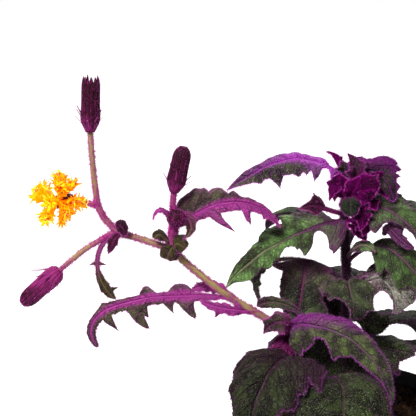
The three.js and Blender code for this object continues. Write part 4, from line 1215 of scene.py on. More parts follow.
LEAVES = (
    Leaf("crown_leaf_left", VIOLET, ((-3, 0, 178), (-18, -3, 187), (-34, -5, 185), (-52, -7, 175)),
        ((0, -0.3, 1), (-0.6, -0.5, 0.5)), 7.2, curl=65, sweep=-0.1, hook=(0.02, 0.02),
        left=((0.12, 5, 0.04, 1), (0.27, 6, 0.045, 1), (0.37, 1.5, 0.03), (0.46, 2, 0.04),
        (0.67, 6, 0.05, 1), (0.8, 1.5, 0.04)), right=((0.22, 1.5, 0.08, 2),), flush=(1.3, -0.3, 0.2, 0.5),
        lean=0.45, midrib_span=2.5),
    Leaf("crown_leaf_right", PLUM, ((-0.5, 1, 180.7), (6.8, -1, 181.7), (12.9, -4, 179.8), (17, -7, 170.3)),
        ((0, -0.8, 0.6), (0.4, -1, 0.2)), 5.2, stalk=0.02, widest=0.4, curl=20, blunt=0.5, sweep=0.15,
        left=((0.1, 2, 0.15, 2), (0.5, 3.6, 0.16, 1.6), (0.63, 2.5, 0.06, 1), (0.72, 2.2, 0.05, 1),
        (0.85, 1.6, 0.05, 1)), right=((0.3, 2, 0.1, 2), (0.62, 1.5, 0.06)), flush=(0.6, -0.1, 0.5, 0),
        lean=-0.4),
    Leaf("young_leaf_spiky", YOUNG, ((-2, 2, 174), (-3.5, 4, 180.5), (-5.5, 5, 185.5), (-10, 5, 188.5)),
        ((-0.3, -1, 0.3), (-0.3, -1, 0.3)), 1.5, widest=0.35, teeth=0.4, right=((0.6, 0.8, 0.04),),
        quilt=0.2, pitch=2.5, flush=(0.5, 0.2, 0.4, 0.5)),
    Leaf("young_leaf_upright", BUDDING, ((-1.5, 0, 172), (1, -3, 178), (0.8, -4, 184.5), (-2, -5, 189.9)),
        ((0.3, -1, 0), (0.3, -1, 0)), 3.4, fold=45, ruffle=0.6, waves=4, left=((0.5, 1.4, 0.1, 2),),
        right=((0.6, 1.2, 0.08, 2),), quilt=0.4, pitch=2.5, flush=(1, 0, 0.5, 0.4), tuft=(
        Leaf("upright_second", YOUNG, ((-2, 3, 173), (-3, 2.5, 178), (-3, 1, 182), (-4.5, 1, 185)),
            ((0, -1, 0.2), (0, -1, 0.2)), 2.8, ruffle=0.6, left=((0.6, 1, 0.06),), quilt=0.5, pitch=2.5),
        Leaf("upright_third", YOUNG, ((0, 2, 173), (4, 1, 178), (6, 0, 182), (8.5, -1, 184)), ((0, -1, 0.2),
            (0, -1, 0.2)), 3.4, ruffle=0.6, right=((0.6, 1, 0.06),), quilt=0.5, pitch=2.5),
    )),
    Leaf("young_leaf_broad", YOUNG, ((-1.5, 0, 169.5), (2, -7.5, 173.5), (5.5, -10.5, 176),
        (9.5, -11.5, 175.5)), ((0, -1, 0.3), (0, -1, 0.3)), 6.2, blunt=0.5, ruffle=1.1, waves=4,
        left=((0.5, 1.2, 0.07), (0.75, 1.2, 0.06)), right=((0.4, 1.2, 0.06), (0.6, 1.6, 0.08),
        (0.8, 1.2, 0.06)), quilt=0.7, pitch=2.5, flush=(0.9, 0.1, 0.4, 0.6), tuft=(
        Leaf("broad_second", YOUNG, ((0, 0, 171), (6, -4, 177), (11, -6, 177), (14.5, -8, 172)),
            ((0, -0.8, 0.5), (0.5, -0.8, 0.2)), 4.2, ruffle=0.8, left=((0.5, 1.2, 0.06), (0.7, 1.2, 0.06)),
            quilt=0.5, pitch=2.5, flush=(0.4, 0.1, 0.4, 0.4)),
        Leaf("broad_third", YOUNG, ((0, -1, 167), (4, -7, 170), (7, -9, 170), (9.5, -11, 167.5)),
            ((0, -0.8, 0.5), (0.5, -0.8, 0.2)), 3.6, ruffle=0.8, left=((0.5, 1.2, 0.06), (0.75, 1, 0.06)),
            quilt=0.5, pitch=2.5, flush=(0.2, 0.1, 0.4, 0.4)),
    )),
    Leaf("young_leaf_inner", YOUNG, ((-2, -1, 170), (-4.5, -5.5, 173), (-5.5, -6, 177), (-5.5, -5.5, 181.5)),
        ((-0.2, -1, 0.1), (-0.2, -1, 0.1)), 4.2, ruffle=0.8, waves=4, left=((0.6, 1.2, 0.08),
        (0.8, 0.8, 0.06)), right=((0.7, 1, 0.07),), pitch=2.5, flush=(0.9, 0.1, 0.4, 0.5), tuft=(
        Leaf("inner_second", YOUNG, ((-2, -2, 171), (-6, -5, 176.5), (-8, -7, 175.5), (-9.5, -8, 171)),
            ((-0.2, -1, 0.5), (-0.8, -0.8, 0)), 2.2, ruffle=0.5, left=((0.5, 1.2, 0.06),), quilt=0.3,
            pitch=2.5, flush=(0.7, 0.1, 0.4, 0.4)),
        Leaf("inner_third", YOUNG, ((-2, -1, 168), (-1, -7, 173), (1, -8.5, 177), (2.5, -8.5, 181)),
            ((0, -1, 0.1), (0.2, -1, 0.1)), 3.4, ruffle=0.7, waves=4, left=((0.6, 1, 0.07),),
            right=((0.5, 1, 0.06), (0.75, 1, 0.06)), quilt=0.4, pitch=2.5, flush=(1, 0.2, 0.4, 0.7)),
    )),
    Leaf("young_leaf_left", YOUNG, ((-2, 1, 170), (-4.5, 4, 172.5), (-6, 5, 171), (-6.5, 6, 167)),
        ((-0.3, -0.4, 1), (-1, -0.5, 0)), 2.4, left=((0.5, 1.2, 0.08),), right=((0.6, 1.2, 0.08),),
        quilt=0.4, pitch=2.5),
    Leaf("young_leaf_back", YOUNG, ((-1.5, 1.5, 170), (1, 7.5, 178), (4, 13, 181), (6, 19, 176)),
        ((0, 0.7, 0.7), (0.2, 1, 0.1)), 5, ruffle=0.7, left=((0.5, 1.5, 0.08),), right=((0.6, 1.5, 0.08),),
        quilt=0.5, pitch=3),
    Leaf("young_leaf_green", BUDDING, ((-1.5, 0, 166), (-1.5, -11, 173), (-1.5, -16, 172),
        (-1.5, -17, 166.5)), ((0, -0.4, 1), (0, -1, 0.1)), 5, blunt=0.55, ruffle=0.6, waves=4, fold=-8,
        quilt=0.4, pitch=3, flush=(1.1, -0.3, 0.3, 0)),
    Leaf("ruffled_leaf_upper", YOUNG, ((-2, 0, 162.5), (1.5, -8, 166), (3.5, -13, 165), (3, -15, 160)),
        ((0, -0.7, 0.7), (0.3, -1, 0.1)), 3, ruffle=1.2, waves=4, left=((0.6, 1, 0.07),),
        right=((0.7, 1, 0.07),), quilt=0.5, pitch=2.5, flush=(0.9, 0, 0.4, 0.4)),
    Leaf("ruffled_leaf_lower", YOUNG, ((-2, 0, 159), (2, -6, 162), (5, -11, 161.5), (4.5, -12.5, 157)),
        ((0, -0.7, 0.7), (0.3, -1, -0.2)), 3.4, ruffle=1.2, waves=4, left=((0.5, 1, 0.07),),
        right=((0.6, 1, 0.07),), quilt=0.5, pitch=2.5, flush=(1, 0, 0.4, 0.4), tuft=(
        Leaf("lower_second", BUDDING, ((-1.1, -7, 159.5), (1.3, -9, 159.2), (3.7, -10, 157.3),
            (5.9, -10, 154.3)), ((0, -0.7, 0.7), (0, -1, 0)), 2.4, ruffle=0.4, quilt=0.3, pitch=2.5,
            flush=(0.1, 0.1, 0.3, 0)),
    )),
    Leaf("upper_leaf_right", SHADED_GREEN, ((-1.5, 0, 165), (11, -6, 167.5), (23, -12, 161.5), (33.5, -13, 145.5)),
        ((0, -0.7, 0.8), (0.5, -0.8, 0.4)), 9, stalk=0.1, sweep=0.2, left=((0.35, 2, 0.12), (0.66, 3, 0.08)),
        right=((0.32, 4, 0.1, 2), (0.64, -5.5, 0.22, 3)), flush=(0.6, 0.05, 0.4, 0.5)),
    Leaf("shaded_leaf_upper", SHADED_GREEN, ((-1.5, 1, 165), (5.5, 8, 171), (12, 13, 170.5), (20, 15, 167)),
        ((0, -0.6, 0.8), (0.3, -0.8, 0.4)), 4, flush=(0.8, 0.4, 0.3, 0.5)),
    Leaf("green_leaf_left", GREEN, ((-2, 0, 160.5), (-18.5, -10, 158.5), (-36.5, -16, 151),
        (-52.5, -18, 136)), ((0, -0.7, 0.7), (-0.4, -0.8, 0.5)), 6, stalk=0.05, widest=0.5, sharp=1.6,
        sweep=0.15, hook=(0.06, 0.02), left=((0.11, 12, 0.1, 1.2), (0.18, 3, 0.05, 1), (0.28, -2.5, 0.05, 2),
        (0.37, 4.5, 0.06, 1.5), (0.52, -2.8, 0.07, 2), (0.68, 1.8, 0.05), (0.84, 2.2, 0.1)),
        right=((0.18, 5, 0.05, 2), (0.3, 6, 0.14, 2), (0.4, 3.5, 0.06, 1), (0.5, 2.5, 0.07, 2),
        (0.58, 2.5, 0.06, 2)), flush=(0.85, -0.75, 0.3, 0.7)),
    Leaf("curled_leaf_left", MAROON, ((-2.7, 1, 162.5), (-10.5, -2, 165.5), (-15.7, -4, 167.3),
        (-22, -5, 166.3)), ((0, -0.8, 0.6), (0, -0.9, 0.5)), 2.2, stalk=0.35, fold=10, ruffle=0.2, curl=30,
        sweep=0, right=((0.55, 3.4, 0.2, 1.6),), left=((0.6, 1.2, 0.15, 2),), flush=(0.8, 0, 0.3, 0.1)),
    Leaf("lower_leaf_right", SHADED_GREEN, ((-1, 0, 141.5), (11.5, -5, 150), (22.5, -11, 145), (34, -13, 131)),
        ((0, -0.5, 0.9), (0.5, -0.8, 0.4)), 9, stalk=0.25, left=((0.65, 2, 0.08),),
        right=((0.36, 6, 0.12, 2), (0.66, 3, 0.1)), flush=(0.5, 0, 0.3, 0.6), lean=-0.3, tuft=(
        Leaf("lower_fold", MAROON, ((13.5, -8, 155.9), (15.7, -10, 159), (19.8, -12, 155.3),
            (25.6, -13, 151.7)), ((0, -1, 0.3), (0.2, -1, 0.3)), 2.2, stalk=0.02, blunt=0.5, curl=15,
            ruffle=0.3, quilt=0.3, flush=(1.2, 1.2, 0.6, 0.6)),
    )),
    Leaf("lower_leaf_lobe", GREEN, ((-1, 0, 143.5), (2, -6, 150), (6, -9, 151.5), (10, -10.5, 149)),
        ((0, -0.7, 0.7), (0, -0.8, 0.5)), 2.6, quilt=0.2),
    Leaf("frosted_leaf_right", FROSTED, ((-1, 0, 127.5), (8.5, -7, 135.5), (15, -15, 136.5),
        (18.3, -17, 124.8)), ((0, -0.5, 0.9), (0.2, -1, 0.1)), 7.5, stalk=0.25, ruffle=1.4, blunt=0.5,
        left=((0.45, -3.4, 0.2, 2), (0.8, 3, 0.16, 2)), right=((0.5, 2, 0.08, 2), (0.8, -4.2, 0.19, 3)),
        quilt=0.9, flush=(0.8, -0.3, 0.1, 0.1), lean=0.9),
    Leaf("frosted_leaf_outer", FROSTED, ((-1, 1, 131.5), (13, 0, 138), (26, -7, 138), (34, -10, 124)),
        ((0, -0.4, 1), (0.6, -0.8, 0.3)), 8, stalk=0.2, ruffle=1.4, blunt=0.5, left=((0.5, 2.5, 0.08, 2),
        (0.75, 2.5, 0.07, 2)), right=((0.45, 2.5, 0.08, 2), (0.7, 2.5, 0.08, 2)), quilt=0.9,
        flush=(0.6, -0.1, 0.2, 0.2)),
    Leaf("crescent_leaf", DARK, ((-1, 1, 127), (-17, 7, 139.6), (-35.6, 7, 138.1), (-36.5, 2, 121)),
        ((0, -0.8, 0.6), (-0.5, -0.9, 0.1)), 1.4, stalk=0.2, widest=0.72, right=((0.8, 1.2, 0.04),),
        left=((0.7, 1, 0.04), (0.84, 1, 0.03))),
    Leaf("centre_leaf", DUSTED, ((-25.5, -13, 112), (-22, -10, 123), (-20, -8, 135), (-18, 1, 142.5)),
        ((0, -1, 0.2), (0, -0.5, 1)), 9.5, stalk=0.1, widest=0.6, blunt=0.5, curl=30, sweep=0, hook=(0, 0),
        left=((0.86, 6.5, 0.08, 1.5),), right=((0.35, 5, 0.14, 2), (0.74, 7, 0.1, 1.5), (0.9, 4.5, 0.07, 2)),
        quilt=1, flush=(-0.5, 0.6, 0.5, 0.9), midrib_span=0.6, tuft=(
        Leaf("centre_lobe", DUSTED, ((-21.3, -11, 122.6), (-27.3, -12, 126.5), (-34, -13, 128.1),
            (-39.3, -14, 126.7)), ((0, -0.9, 0.5), (0, -1, 0.2)), 2.3, stalk=0.02, widest=0.6, blunt=0.5,
            flush=(0, 0.2, 0.4, 0.2)),
    )),
    Leaf("centre_leaf_right", DUSTED, ((-1, 0, 129), (-1.5, -10, 136.5), (-0.5, -18, 133.5),
        (0.5, -20, 123.3)), ((0, -0.3, 1), (0.1, -1, 0.1)), 9.5, blunt=0.5, ruffle=1.4, left=((0.5, 2, 0.08),
        (0.8, 2, 0.07)), right=((0.35, 4, 0.12, 2), (0.8, -4.8, 0.19, 3)), quilt=0.8,
        flush=(0.5, -0.1, 0.3, 0.3)),
    Leaf("shaded_leaf_left", DARK, ((-1, 2, 110.5), (-4, 6, 115), (-7.5, 8, 121), (-10.5, 8, 127.2)),
        ((0, -0.8, 0.5), (0, -0.9, 0.3)), 7, blunt=0.6),
    Leaf("shaded_leaf_right", DARK, ((-1, 2, 113), (6, 8, 115), (12, 10.5, 112.5), (17, 11, 108)),
        ((0, -0.8, 0.5), (0.3, -0.9, 0.3)), 7, blunt=0.5, left=((0.5, -4, 0.35, 2), (0.78, 2, 0.05, 1))),
    Leaf("shaded_leaf_low", DARK, ((-0.8, 2, 94), (-1, -8, 102.5), (-2, -15, 101.5), (-3.5, -19, 88)),
        ((0, -0.5, 0.9), (0, -1, 0.1)), 9, blunt=0.55, ruffle=0.8, left=((0.6, 3, 0.12),),
        right=((0.5, 6, 0.3, 3),), flush=(0.9, 0.2, 0.5, 0.5), tuft=(
        Leaf("low_second", MAROON, ((-6.2, -12, 98.4), (-11.9, -14, 105.4), (-18, -16, 107.9),
            (-23.9, -17, 104.7)), ((0, -0.9, 0.5), (0, -1, 0.3)), 7, stalk=0.02, blunt=0.4, ruffle=0.8,
            flush=(0.1, 0.3, 0.5, 0.2)),
    )),
    Leaf("node_leaf", MAGENTA, ((-25.5, -15, 114), (-27.2, -21, 121.1), (-31.9, -24, 122.6),
        (-36.8, -25, 118.5)), ((0, -0.7, 0.8), (-0.2, -1, 0.2)), 3.6, ruffle=0.6, curl=10,
        left=((0.5, 2, 0.12),), right=((0.5, 1.2, 0.1), (0.8, 1.2, 0.06)), quilt=0.8,
        flush=(0.9, -0.3, 0.3, 0)),
    Leaf("node_leaf_lower", MAROON, ((-24, -15, 112), (-26.5, -20, 113.5), (-28.5, -23, 112),
        (-30, -24, 106)), ((0, -0.8, 0.6), (-0.1, -1, 0.1)), 4.4, ruffle=1.2, blunt=0.5,
        left=((0.6, 2, 0.1),), right=((0.7, 2, 0.1),), flush=(1, 0.6, 0.6, 0.5)),
    Leaf("front_leaf", MOTTLED, ((-26, -16, 118.5), (-12.5, -30, 122.5), (4, -39, 115.5), (15.3, -40, 93)),
        ((0, -0.8, 0.6), (0.6, -0.9, 0.2)), 6.3, stalk=0.02, widest=0.3, blunt=0.5, sweep=0.1, fold=4,
        left=((0.52, 1.8, 0.2), (0.8, 1.5, 0.15)), right=((0.06, 6, 0.06, 1), (0.13, 5, 0.14, 1.5),
        (0.33, -2.2, 0.07, 3), (0.455, 3.5, 0.05, 1.2), (0.52, 2, 0.09, 2), (0.6, -0.5, 0.05),
        (0.88, -1.5, 0.12)), quilt=1.1, flush=(0.9, -0.6, 0.25, 0.1), lean=-0.6, midrib_span=1.6),
    Leaf("base_leaf_left", SHADED, ((-19.5, -13, 98), (-27, -28, 109), (-36, -42, 106), (-43, -52, 87)),
        ((-0.2, -0.6, 0.9), (-0.6, -0.8, 0.2)), 16, stalk=0.12, blunt=0.45, ruffle=1.2,
        left=((0.22, 10, 0.18, 3), (0.5, 3, 0.08, 2), (0.7, 2, 0.08, 2)), right=((0.12, 3.5, 0.1, 2),
        (0.3, 0.8, 0.12, 2), (0.5, 1.5, 0.1, 2), (0.7, 0.4, 0.08, 2)), quilt=1.6, pitch=9,
        flush=(1.1, 0, 0.5, 0.3)),
    Leaf("base_leaf_front", DARK, ((-17, -11, 88), (-6.5, -36, 102), (-5.5, -54, 98), (-6, -63, 78)),
        ((0, -0.6, 0.9), (0, -1, 0.3)), 19, stalk=0.3, widest=0.35, blunt=0.42, ruffle=0.8,
        left=((0.6, 2, 0.08, 2), (0.8, 2, 0.07, 2)), right=((0.6, 2, 0.08, 2), (0.8, 2, 0.07, 2)), quilt=1.4,
        pitch=9, flush=(0.8, -0.3, 1, 0)),
    Leaf("base_leaf_right", DARK, ((-1, 2, 101), (8.6, -1, 104.4), (18.1, -5, 104.4), (27.9, -9, 103.2)),
        ((0, -0.5, 0.9), (0.2, -0.7, 0.7)), 7, left=((0.5, 1, 0.08),), right=((0.4, 3.5, 0.12, 2),
        (0.66, 4.5, 0.12, 2)), flush=(0.3, 0, 0.5, -0.2), lean=0.3),
    Leaf("right_leaf_upper", GREEN, ((-1, 1, 152), (16, 10, 163), (38, 18, 160), (54, 24, 143)), ((0, 0, 1),
        (0.7, 0.3, 0.4)), 9, left=EARLY_LOBES, right=((0.45, 4, 0.08), (0.7, 3, 0.08))),
    Leaf("right_leaf_lower", DARK, ((11.5, 18.5, 92), (28, 16, 99), (46, 12, 96), (60, 8, 82)), ((0, 0, 1),
        (0.8, 0, 0.4)), 11, blunt=0.6, left=SMALL_LOBES, right=((0.5, 3, 0.08), (0.72, 2, 0.08))),
    Leaf("back_leaf_upper_right", GREEN, ((-1, 1, 148), (8, 14, 158), (18, 30, 156), (26, 44, 140)),
        ((0, 0.1, 1), (0.4, 0.8, 0.4)), 8.5, left=EARLY_LOBES, right=((0.42, 4, 0.08), (0.7, 3, 0.08))),
    Leaf("back_leaf_upper_left", GREEN, ((-2, 1, 150), (-13, 14, 158), (-24, 27, 157), (-34, 40, 145)),
        ((0, 0.1, 1), (-0.5, 0.8, 0.4)), 8.5, left=MIDDLE_LOBES, right=EARLY_LOBES),
    Leaf("back_leaf_middle", DARK, ((9.5, 16, 118), (4, 30, 127), (0, 44, 124), (-3, 58, 108)), ((0, 0, 1),
        (0, 0.9, 0.4)), 9.5, left=MIDDLE_LOBES, right=EARLY_LOBES, tuft=(
        Leaf("middle_second", MAROON, ((9, 16, 125), (8.5, 15, 128), (8, 13, 130), (7, 11, 130)),
            ((0, -0.7, 0.7), (0, -1, 0.3)), 2.6, stalk=0.1, ruffle=0.4, quilt=0.3, pitch=3),
        Leaf("middle_third", MAROON, ((9, 16, 125), (10, 18, 128.5), (11, 20.5, 130), (12, 23, 129)),
            ((0, 0.7, 0.7), (0, 1, 0.3)), 2.6, stalk=0.1, ruffle=0.4, quilt=0.3, pitch=3),
    )),
    Leaf("back_leaf_low_left", DARK, ((11.5, 17.5, 98), (-5, 32, 104), (-19, 45, 97), (-29, 56, 80)),
        ((0, 0, 1), (-0.5, 0.7, 0.5)), 12, blunt=0.6, left=SMALL_LOBES, right=SMALL_LOBES),
    Leaf("back_leaf_low_right", DARK, ((11.5, 18, 100), (22, 32, 107), (34, 46, 102), (44, 58, 84)),
        ((0, 0, 1), (0.5, 0.7, 0.5)), 12, blunt=0.6, left=SMALL_LOBES, right=SMALL_LOBES),
    Leaf("branch_leaf_low", MAGENTA, ((-51, -17, 131), (-78.5, -20, 132.5), (-103, -21, 126.5),
        (-106, -21, 111)), ((0, -0.4, 1), (-0.5, -0.9, 0.2)), 2.8, stalk=0.05, blunt=0.3, curl=50, sweep=0,
        hook=(-0.036, 0), left=((0.23, 8.5, 0.04, 1.2), (0.31, 5, 0.025, 1), (0.49, 10.5, 0.045, 1.4),
        (0.44, 5.5, 0.02, 1), (0.67, 8, 0.036, 0.85)), right=((0.25, 6, 0.06, 2), (0.41, 4.5, 0.04, 2),
        (0.66, 1, 0.04)), flush=(0.6, -0.5, -0.5, 1.25), midrib_span=2.3, quilt=0.4),
    Leaf("branch_leaf_high", MAGENTA, ((-74, -18, 161.5), (-60, -19.5, 170.5), (-44.5, -19.5, 172.5),
        (-30.5, -19, 162.5)), ((0, -0.6, 0.9), (0.7, -0.5, 0.4)), 3.8, stalk=0.02, sweep=0, hook=(0, 0.08),
        blunt=0.6, left=((0.2, 9.5, 0.17, 4), (0.42, 6, 0.1, 2), (0.56, 2.5, 0.05), (0.7, 1, 0.05)),
        right=((0.37, 9.5, 0.045, 0.75), (0.68, 5.5, 0.04, 0.75), (0.86, 1.5, 0.03, 0.8)),
        flush=(0, 0.7, 0.1, 1), lean=0.35, midrib_span=1.6),
    Leaf("branch_leaf_hanging", AURICLE, ((-101, -16, 157), (-105.5, -18, 149.5), (-104.5, -19, 140),
        (-98.5, -19, 131.5)), ((-0.2, -1, 0), (-0.2, -1, 0)), 2.1, stalk=0.35, widest=0.66, hook=(0, 0),
        left=((0.42, 3, 0.025, 1), (0.85, 2.5, 0.03, 1)), right=((0.42, 3, 0.025, 1),),
        flush=(1.2, -0.5, 0.3, 0.2), quilt=0.2),
    Leaf("branch_leaf_curled", MAGENTA, ((-74.5, -18, 163.5), (-78, -20, 169.5), (-81, -20.5, 169.5),
        (-82.5, -20.5, 166)), ((0, -0.7, 0.7), (-1, -0.5, 0)), 0.9, stalk=0.05, flush=(1, 0.8, 0.4, 0.2),
        quilt=0.1),
    Leaf("branch_leaf_small", AURICLE, ((-72.7, -19, 165.8), (-69, -22, 167.5), (-66.9, -23, 164),
        (-69.8, -23, 158.4)), ((0, -0.9, 0.5), (-0.3, -1, 0)), 2.2, stalk=0.05, curl=10,
        flush=(0.9, -0.1, 0.3, 0.2), quilt=0.15),
    Leaf("branch_bract", MAROON, ((-95.5, -16, 158.5), (-98, -19, 158), (-99.5, -20, 155.5),
        (-101, -20, 151.5)), ((0, -0.9, 0.4), (-0.3, -1, 0)), 1.9, sharp=1, flush=(0.3, 0.2, 0.3, 0),
        quilt=0.15, tuft=(
        Leaf("bract_second", MAROON, ((-97, -16, 160), (-96.5, -19, 163), (-95.5, -20.5, 163),
            (-94, -21, 159.5)), ((0, -0.8, 0.6), (0.3, -1, 0)), 2.4, blunt=0.5, flush=(0.2, 0.1, 0.2, 0),
            quilt=0.1),
    )),
    Leaf("node_auricle_low", AURICLE, ((-74, -17, 153), (-74.5, -20, 154), (-75.5, -21.5, 153),
        (-77, -21.5, 149.6)), ((0, -0.6, 0.9), (0, -1, 0.2)), 4.4, stalk=0.1, blunt=0.4, curl=70, quilt=0.3,
        flush=(0, 0, 0.1, 0)),
    Leaf("node_auricle_right", AURICLE, ((-75, -17, 153), (-73.5, -21, 155.5), (-72, -22, 156),
        (-69.5, -22, 154)), ((0, -0.8, 0.6), (0.1, -1, 0.3)), 3.8, stalk=0.1, blunt=0.4, curl=60, quilt=0.3,
        left=((0.55, 1.2, 0.1),), flush=(0, 0, 0.1, 0)),
    Leaf("node_auricle_left", AURICLE, ((-75.5, -17.5, 155), (-78.5, -20, 158.5), (-80.5, -20.5, 159.5),
        (-82, -20.5, 158)), ((0, -0.8, 0.6), (-0.3, -1, 0.3)), 2.3, blunt=0.4, curl=60, quilt=0.2,
        flush=(0.2, 0, 0.1, 0)),
    Leaf("node_auricle_front", MAGENTA, ((-42.5, -16.5, 124.8), (-49, -20.5, 127), (-56, -21.5, 128.5),
        (-63, -21, 131)), ((0, -0.8, 0.6), (0, -0.9, 0.5)), 2, stalk=0.1, blunt=0.5, ruffle=0.8, waves=5,
        left=((0.3, 1.5, 0.05, 1), (0.6, 1.5, 0.05, 1)), right=((0.25, 2, 0.05, 1), (0.5, 1.5, 0.05, 1)),
        flush=(1, 1, 0.4, 0.2), quilt=0.15),
    Leaf("node_auricle_back", MAGENTA, ((-50.5, -17, 131.5), (-55, -14, 134.5), (-61, -13, 135),
        (-67, -13, 133)), ((0, -0.6, 0.8), (-0.3, -0.8, 0.6)), 2.4, blunt=0.6, ruffle=0.8, waves=5,
        left=((0.4, 1.5, 0.05, 1),), right=((0.3, 1.5, 0.05, 1), (0.6, 1.5, 0.05, 1)),
        flush=(1, 1, 0.4, 0.2), quilt=0.15),
)


def dress(piece: Piece, node: str) -> Piece:
    """Ties a finished piece to the frame.

    Args:
        piece: The piece.
        node: The frame's node that it stands for.

    Returns:
        The piece.
    """
    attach(piece, BODY)
    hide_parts(node)
    return piece


@dataclass
class Foliage:
    """All the leaves, and the velvet on them."""

    velvet: Tree
    shop: Finishes
    leaves: tuple[Leaf, ...] = LEAVES

    def build(self) -> list[Piece]:
        """Grows every leaf.

        Returns:
            The pieces.
        """
        pieces = []
        for number, leaf in enumerate(self.leaves):
            finish = leaf.finish
            piece = leaf.shape().piece(f"{leaf.name}_blade", self.shop.leaf(finish))
            finish.fur().grow(piece, self.velvet, number, self.shop.hair(finish.hair))
            pieces.append(dress(piece, leaf.name))
        return pieces


# Stems

MAIN_STEM = ((-0.5, 2, 58), (-1, 2, 106), (-1, 1, 132), (-2.5, 0, 162.5), (-2, 0, 178))
SIDE_STEM = ((12, 20, 58), (12, 19, 90), (11, 17, 112), (9, 16, 126))
FLOWERING_STEM = (
    (-15, -10, 58), (-20, -13, 100), (-26.5, -15, 114), (-35.5, -16, 121.5), (-53, -17, 133),
    (-67.5, -17, 145), (-75.5, -17, 152), (-86, -16.5, 156), (-96.5, -16, 159.5), (-102.5, -15.5, 165),
    (-105.5, -15, 170.5),
)
TOP_BUD_STALK = ((-105.5, -15, 170.5), (-107, -15, 185.5), (-108, -15, 201.5))
LOW_BUD_STALK = ((-97, -16, 160.2), (-110.5, -17, 152.5), (-121.5, -18, 143.5))
BUD_SHOOT = ((-74.5, -17, 151), (-74.5, -17.5, 158.5), (-73.5, -19, 166.5))
MIDDLE_BUD_STALK = ((-74, -18, 163), (-74.5, -16.5, 170), (-74, -16, 176.5))
FLOWER_STALK = ((-105.5, -15, 170.5), (-110.5, -11, 170.5), (-116, -8, 170))
JOINTS = np.array([leaf.midrib[0] for leaf in LEAVES] + [BUD_SHOOT[0], FLOWER_STALK[0], LOW_BUD_STALK[0]])
JOINT_REACH = 2.6
JOINT_SWELL = 0.16


@dataclass(frozen=True)
class Branch:
    """One round branch along its route, thicker where leaves grow from it."""

    route: Route
    radius: float
    tip_radius: float
    violet: tuple[float, ...]

    def add_to(self, shape: Shape) -> None:
        """Adds the branch to a shape.

        Args:
            shape: The shape that takes it.
        """
        line = smooth_route(self.route, 0.8)
        near = np.min(np.linalg.norm(line[:, None] - JOINTS[None], axis=-1), axis=1)
        swell = np.exp(-((near / JOINT_REACH) ** 2))
        share = np.linspace(0, 1, len(line))
        radius = self.radius + (self.tip_radius - self.radius) * share
        violet = np.interp(share, np.linspace(0, 1, len(self.violet)), self.violet)
        flush = np.clip(violet + 0.6 * swell, 0, 1)
        shape.add_tube(line, radius * (1 + JOINT_SWELL * swell), 24, flush, ribs=8, depth=0.05)


@dataclass(frozen=True)
class Stem:
    """One stem with its branches, its slot and the tint of its hairs."""

    name: str
    branches: tuple[Branch, ...]
    slot: Slot = Slot.STEM_PURPLE
    hair: str = HAIR_DARK


STEMS = (
    Stem("main_stem", (Branch(MAIN_STEM, 2.0, 1.5, (0.4,)),)),
    Stem("side_stem", (Branch(SIDE_STEM, 1.7, 1.3, (0.4,)),)),
    Stem("flowering_stem", (
        Branch(FLOWERING_STEM, 1.6, 1.25, (0.8, 0.8, 0.8, 0.3, 0.0, 0.3, 0.5, 0.8)),
        Branch(BUD_SHOOT, 2.1, 1.5, (1.0,)),
        Branch(TOP_BUD_STALK, 1.15, 1.0, (0.7, 0.3, 0.35)),
        Branch(LOW_BUD_STALK, 1.1, 0.95, (1.0, 0.7, 0.3, 0.9)),
        Branch(MIDDLE_BUD_STALK, 1.3, 1.1, (1.0,)),
        Branch(FLOWER_STALK, 1.1, 0.8, (0.9, 0.2)),
    ), Slot.STEM_OLIVE, HAIR_MAGENTA),
)


@dataclass
class Stems:
    """The three stems and the bud stalks."""

    velvet: Tree
    shop: Finishes
    fur: Fur = Fur(4.6, 1.7, 0.11, 0.35)
    first_seed: int = 100
    streaks: float = 3.0

    def build(self) -> list[Piece]:
        """Grows the stems.

        Returns:
            The pieces.
        """
        skins = {
            Slot.STEM_OLIVE: self.shop.skin("stem_olive_skin", "948e48", "8a2068", "aca462", self.streaks),
            Slot.STEM_PURPLE: self.shop.skin("stem_purple_skin", "100310", "1e0416", "200a14", self.streaks),
        }
        pieces = []
        for number, stem in enumerate(STEMS):
            shape = Shape()
            for branch in stem.branches:
                branch.add_to(shape)
            piece = shape.piece(f"{stem.name}_grown", [skins[stem.slot]])
            self.fur.grow(piece, self.velvet, self.first_seed + number, self.shop.hair(stem.hair))
            pieces.append(dress(piece, stem.name))
        return pieces


# Buds and flower

SHOULDER = 0.72
OPEN_CLOSING = 0.6
SHUT_CLOSING = 0.284
CORE_POINTS = 26
BRACT_POINTS = (15, 5)
BRACT_OVERLAP = 1.05
BRACT_THICKNESS = 0.22
GOLDEN_ANGLE = math.pi * (3 - math.sqrt(5))


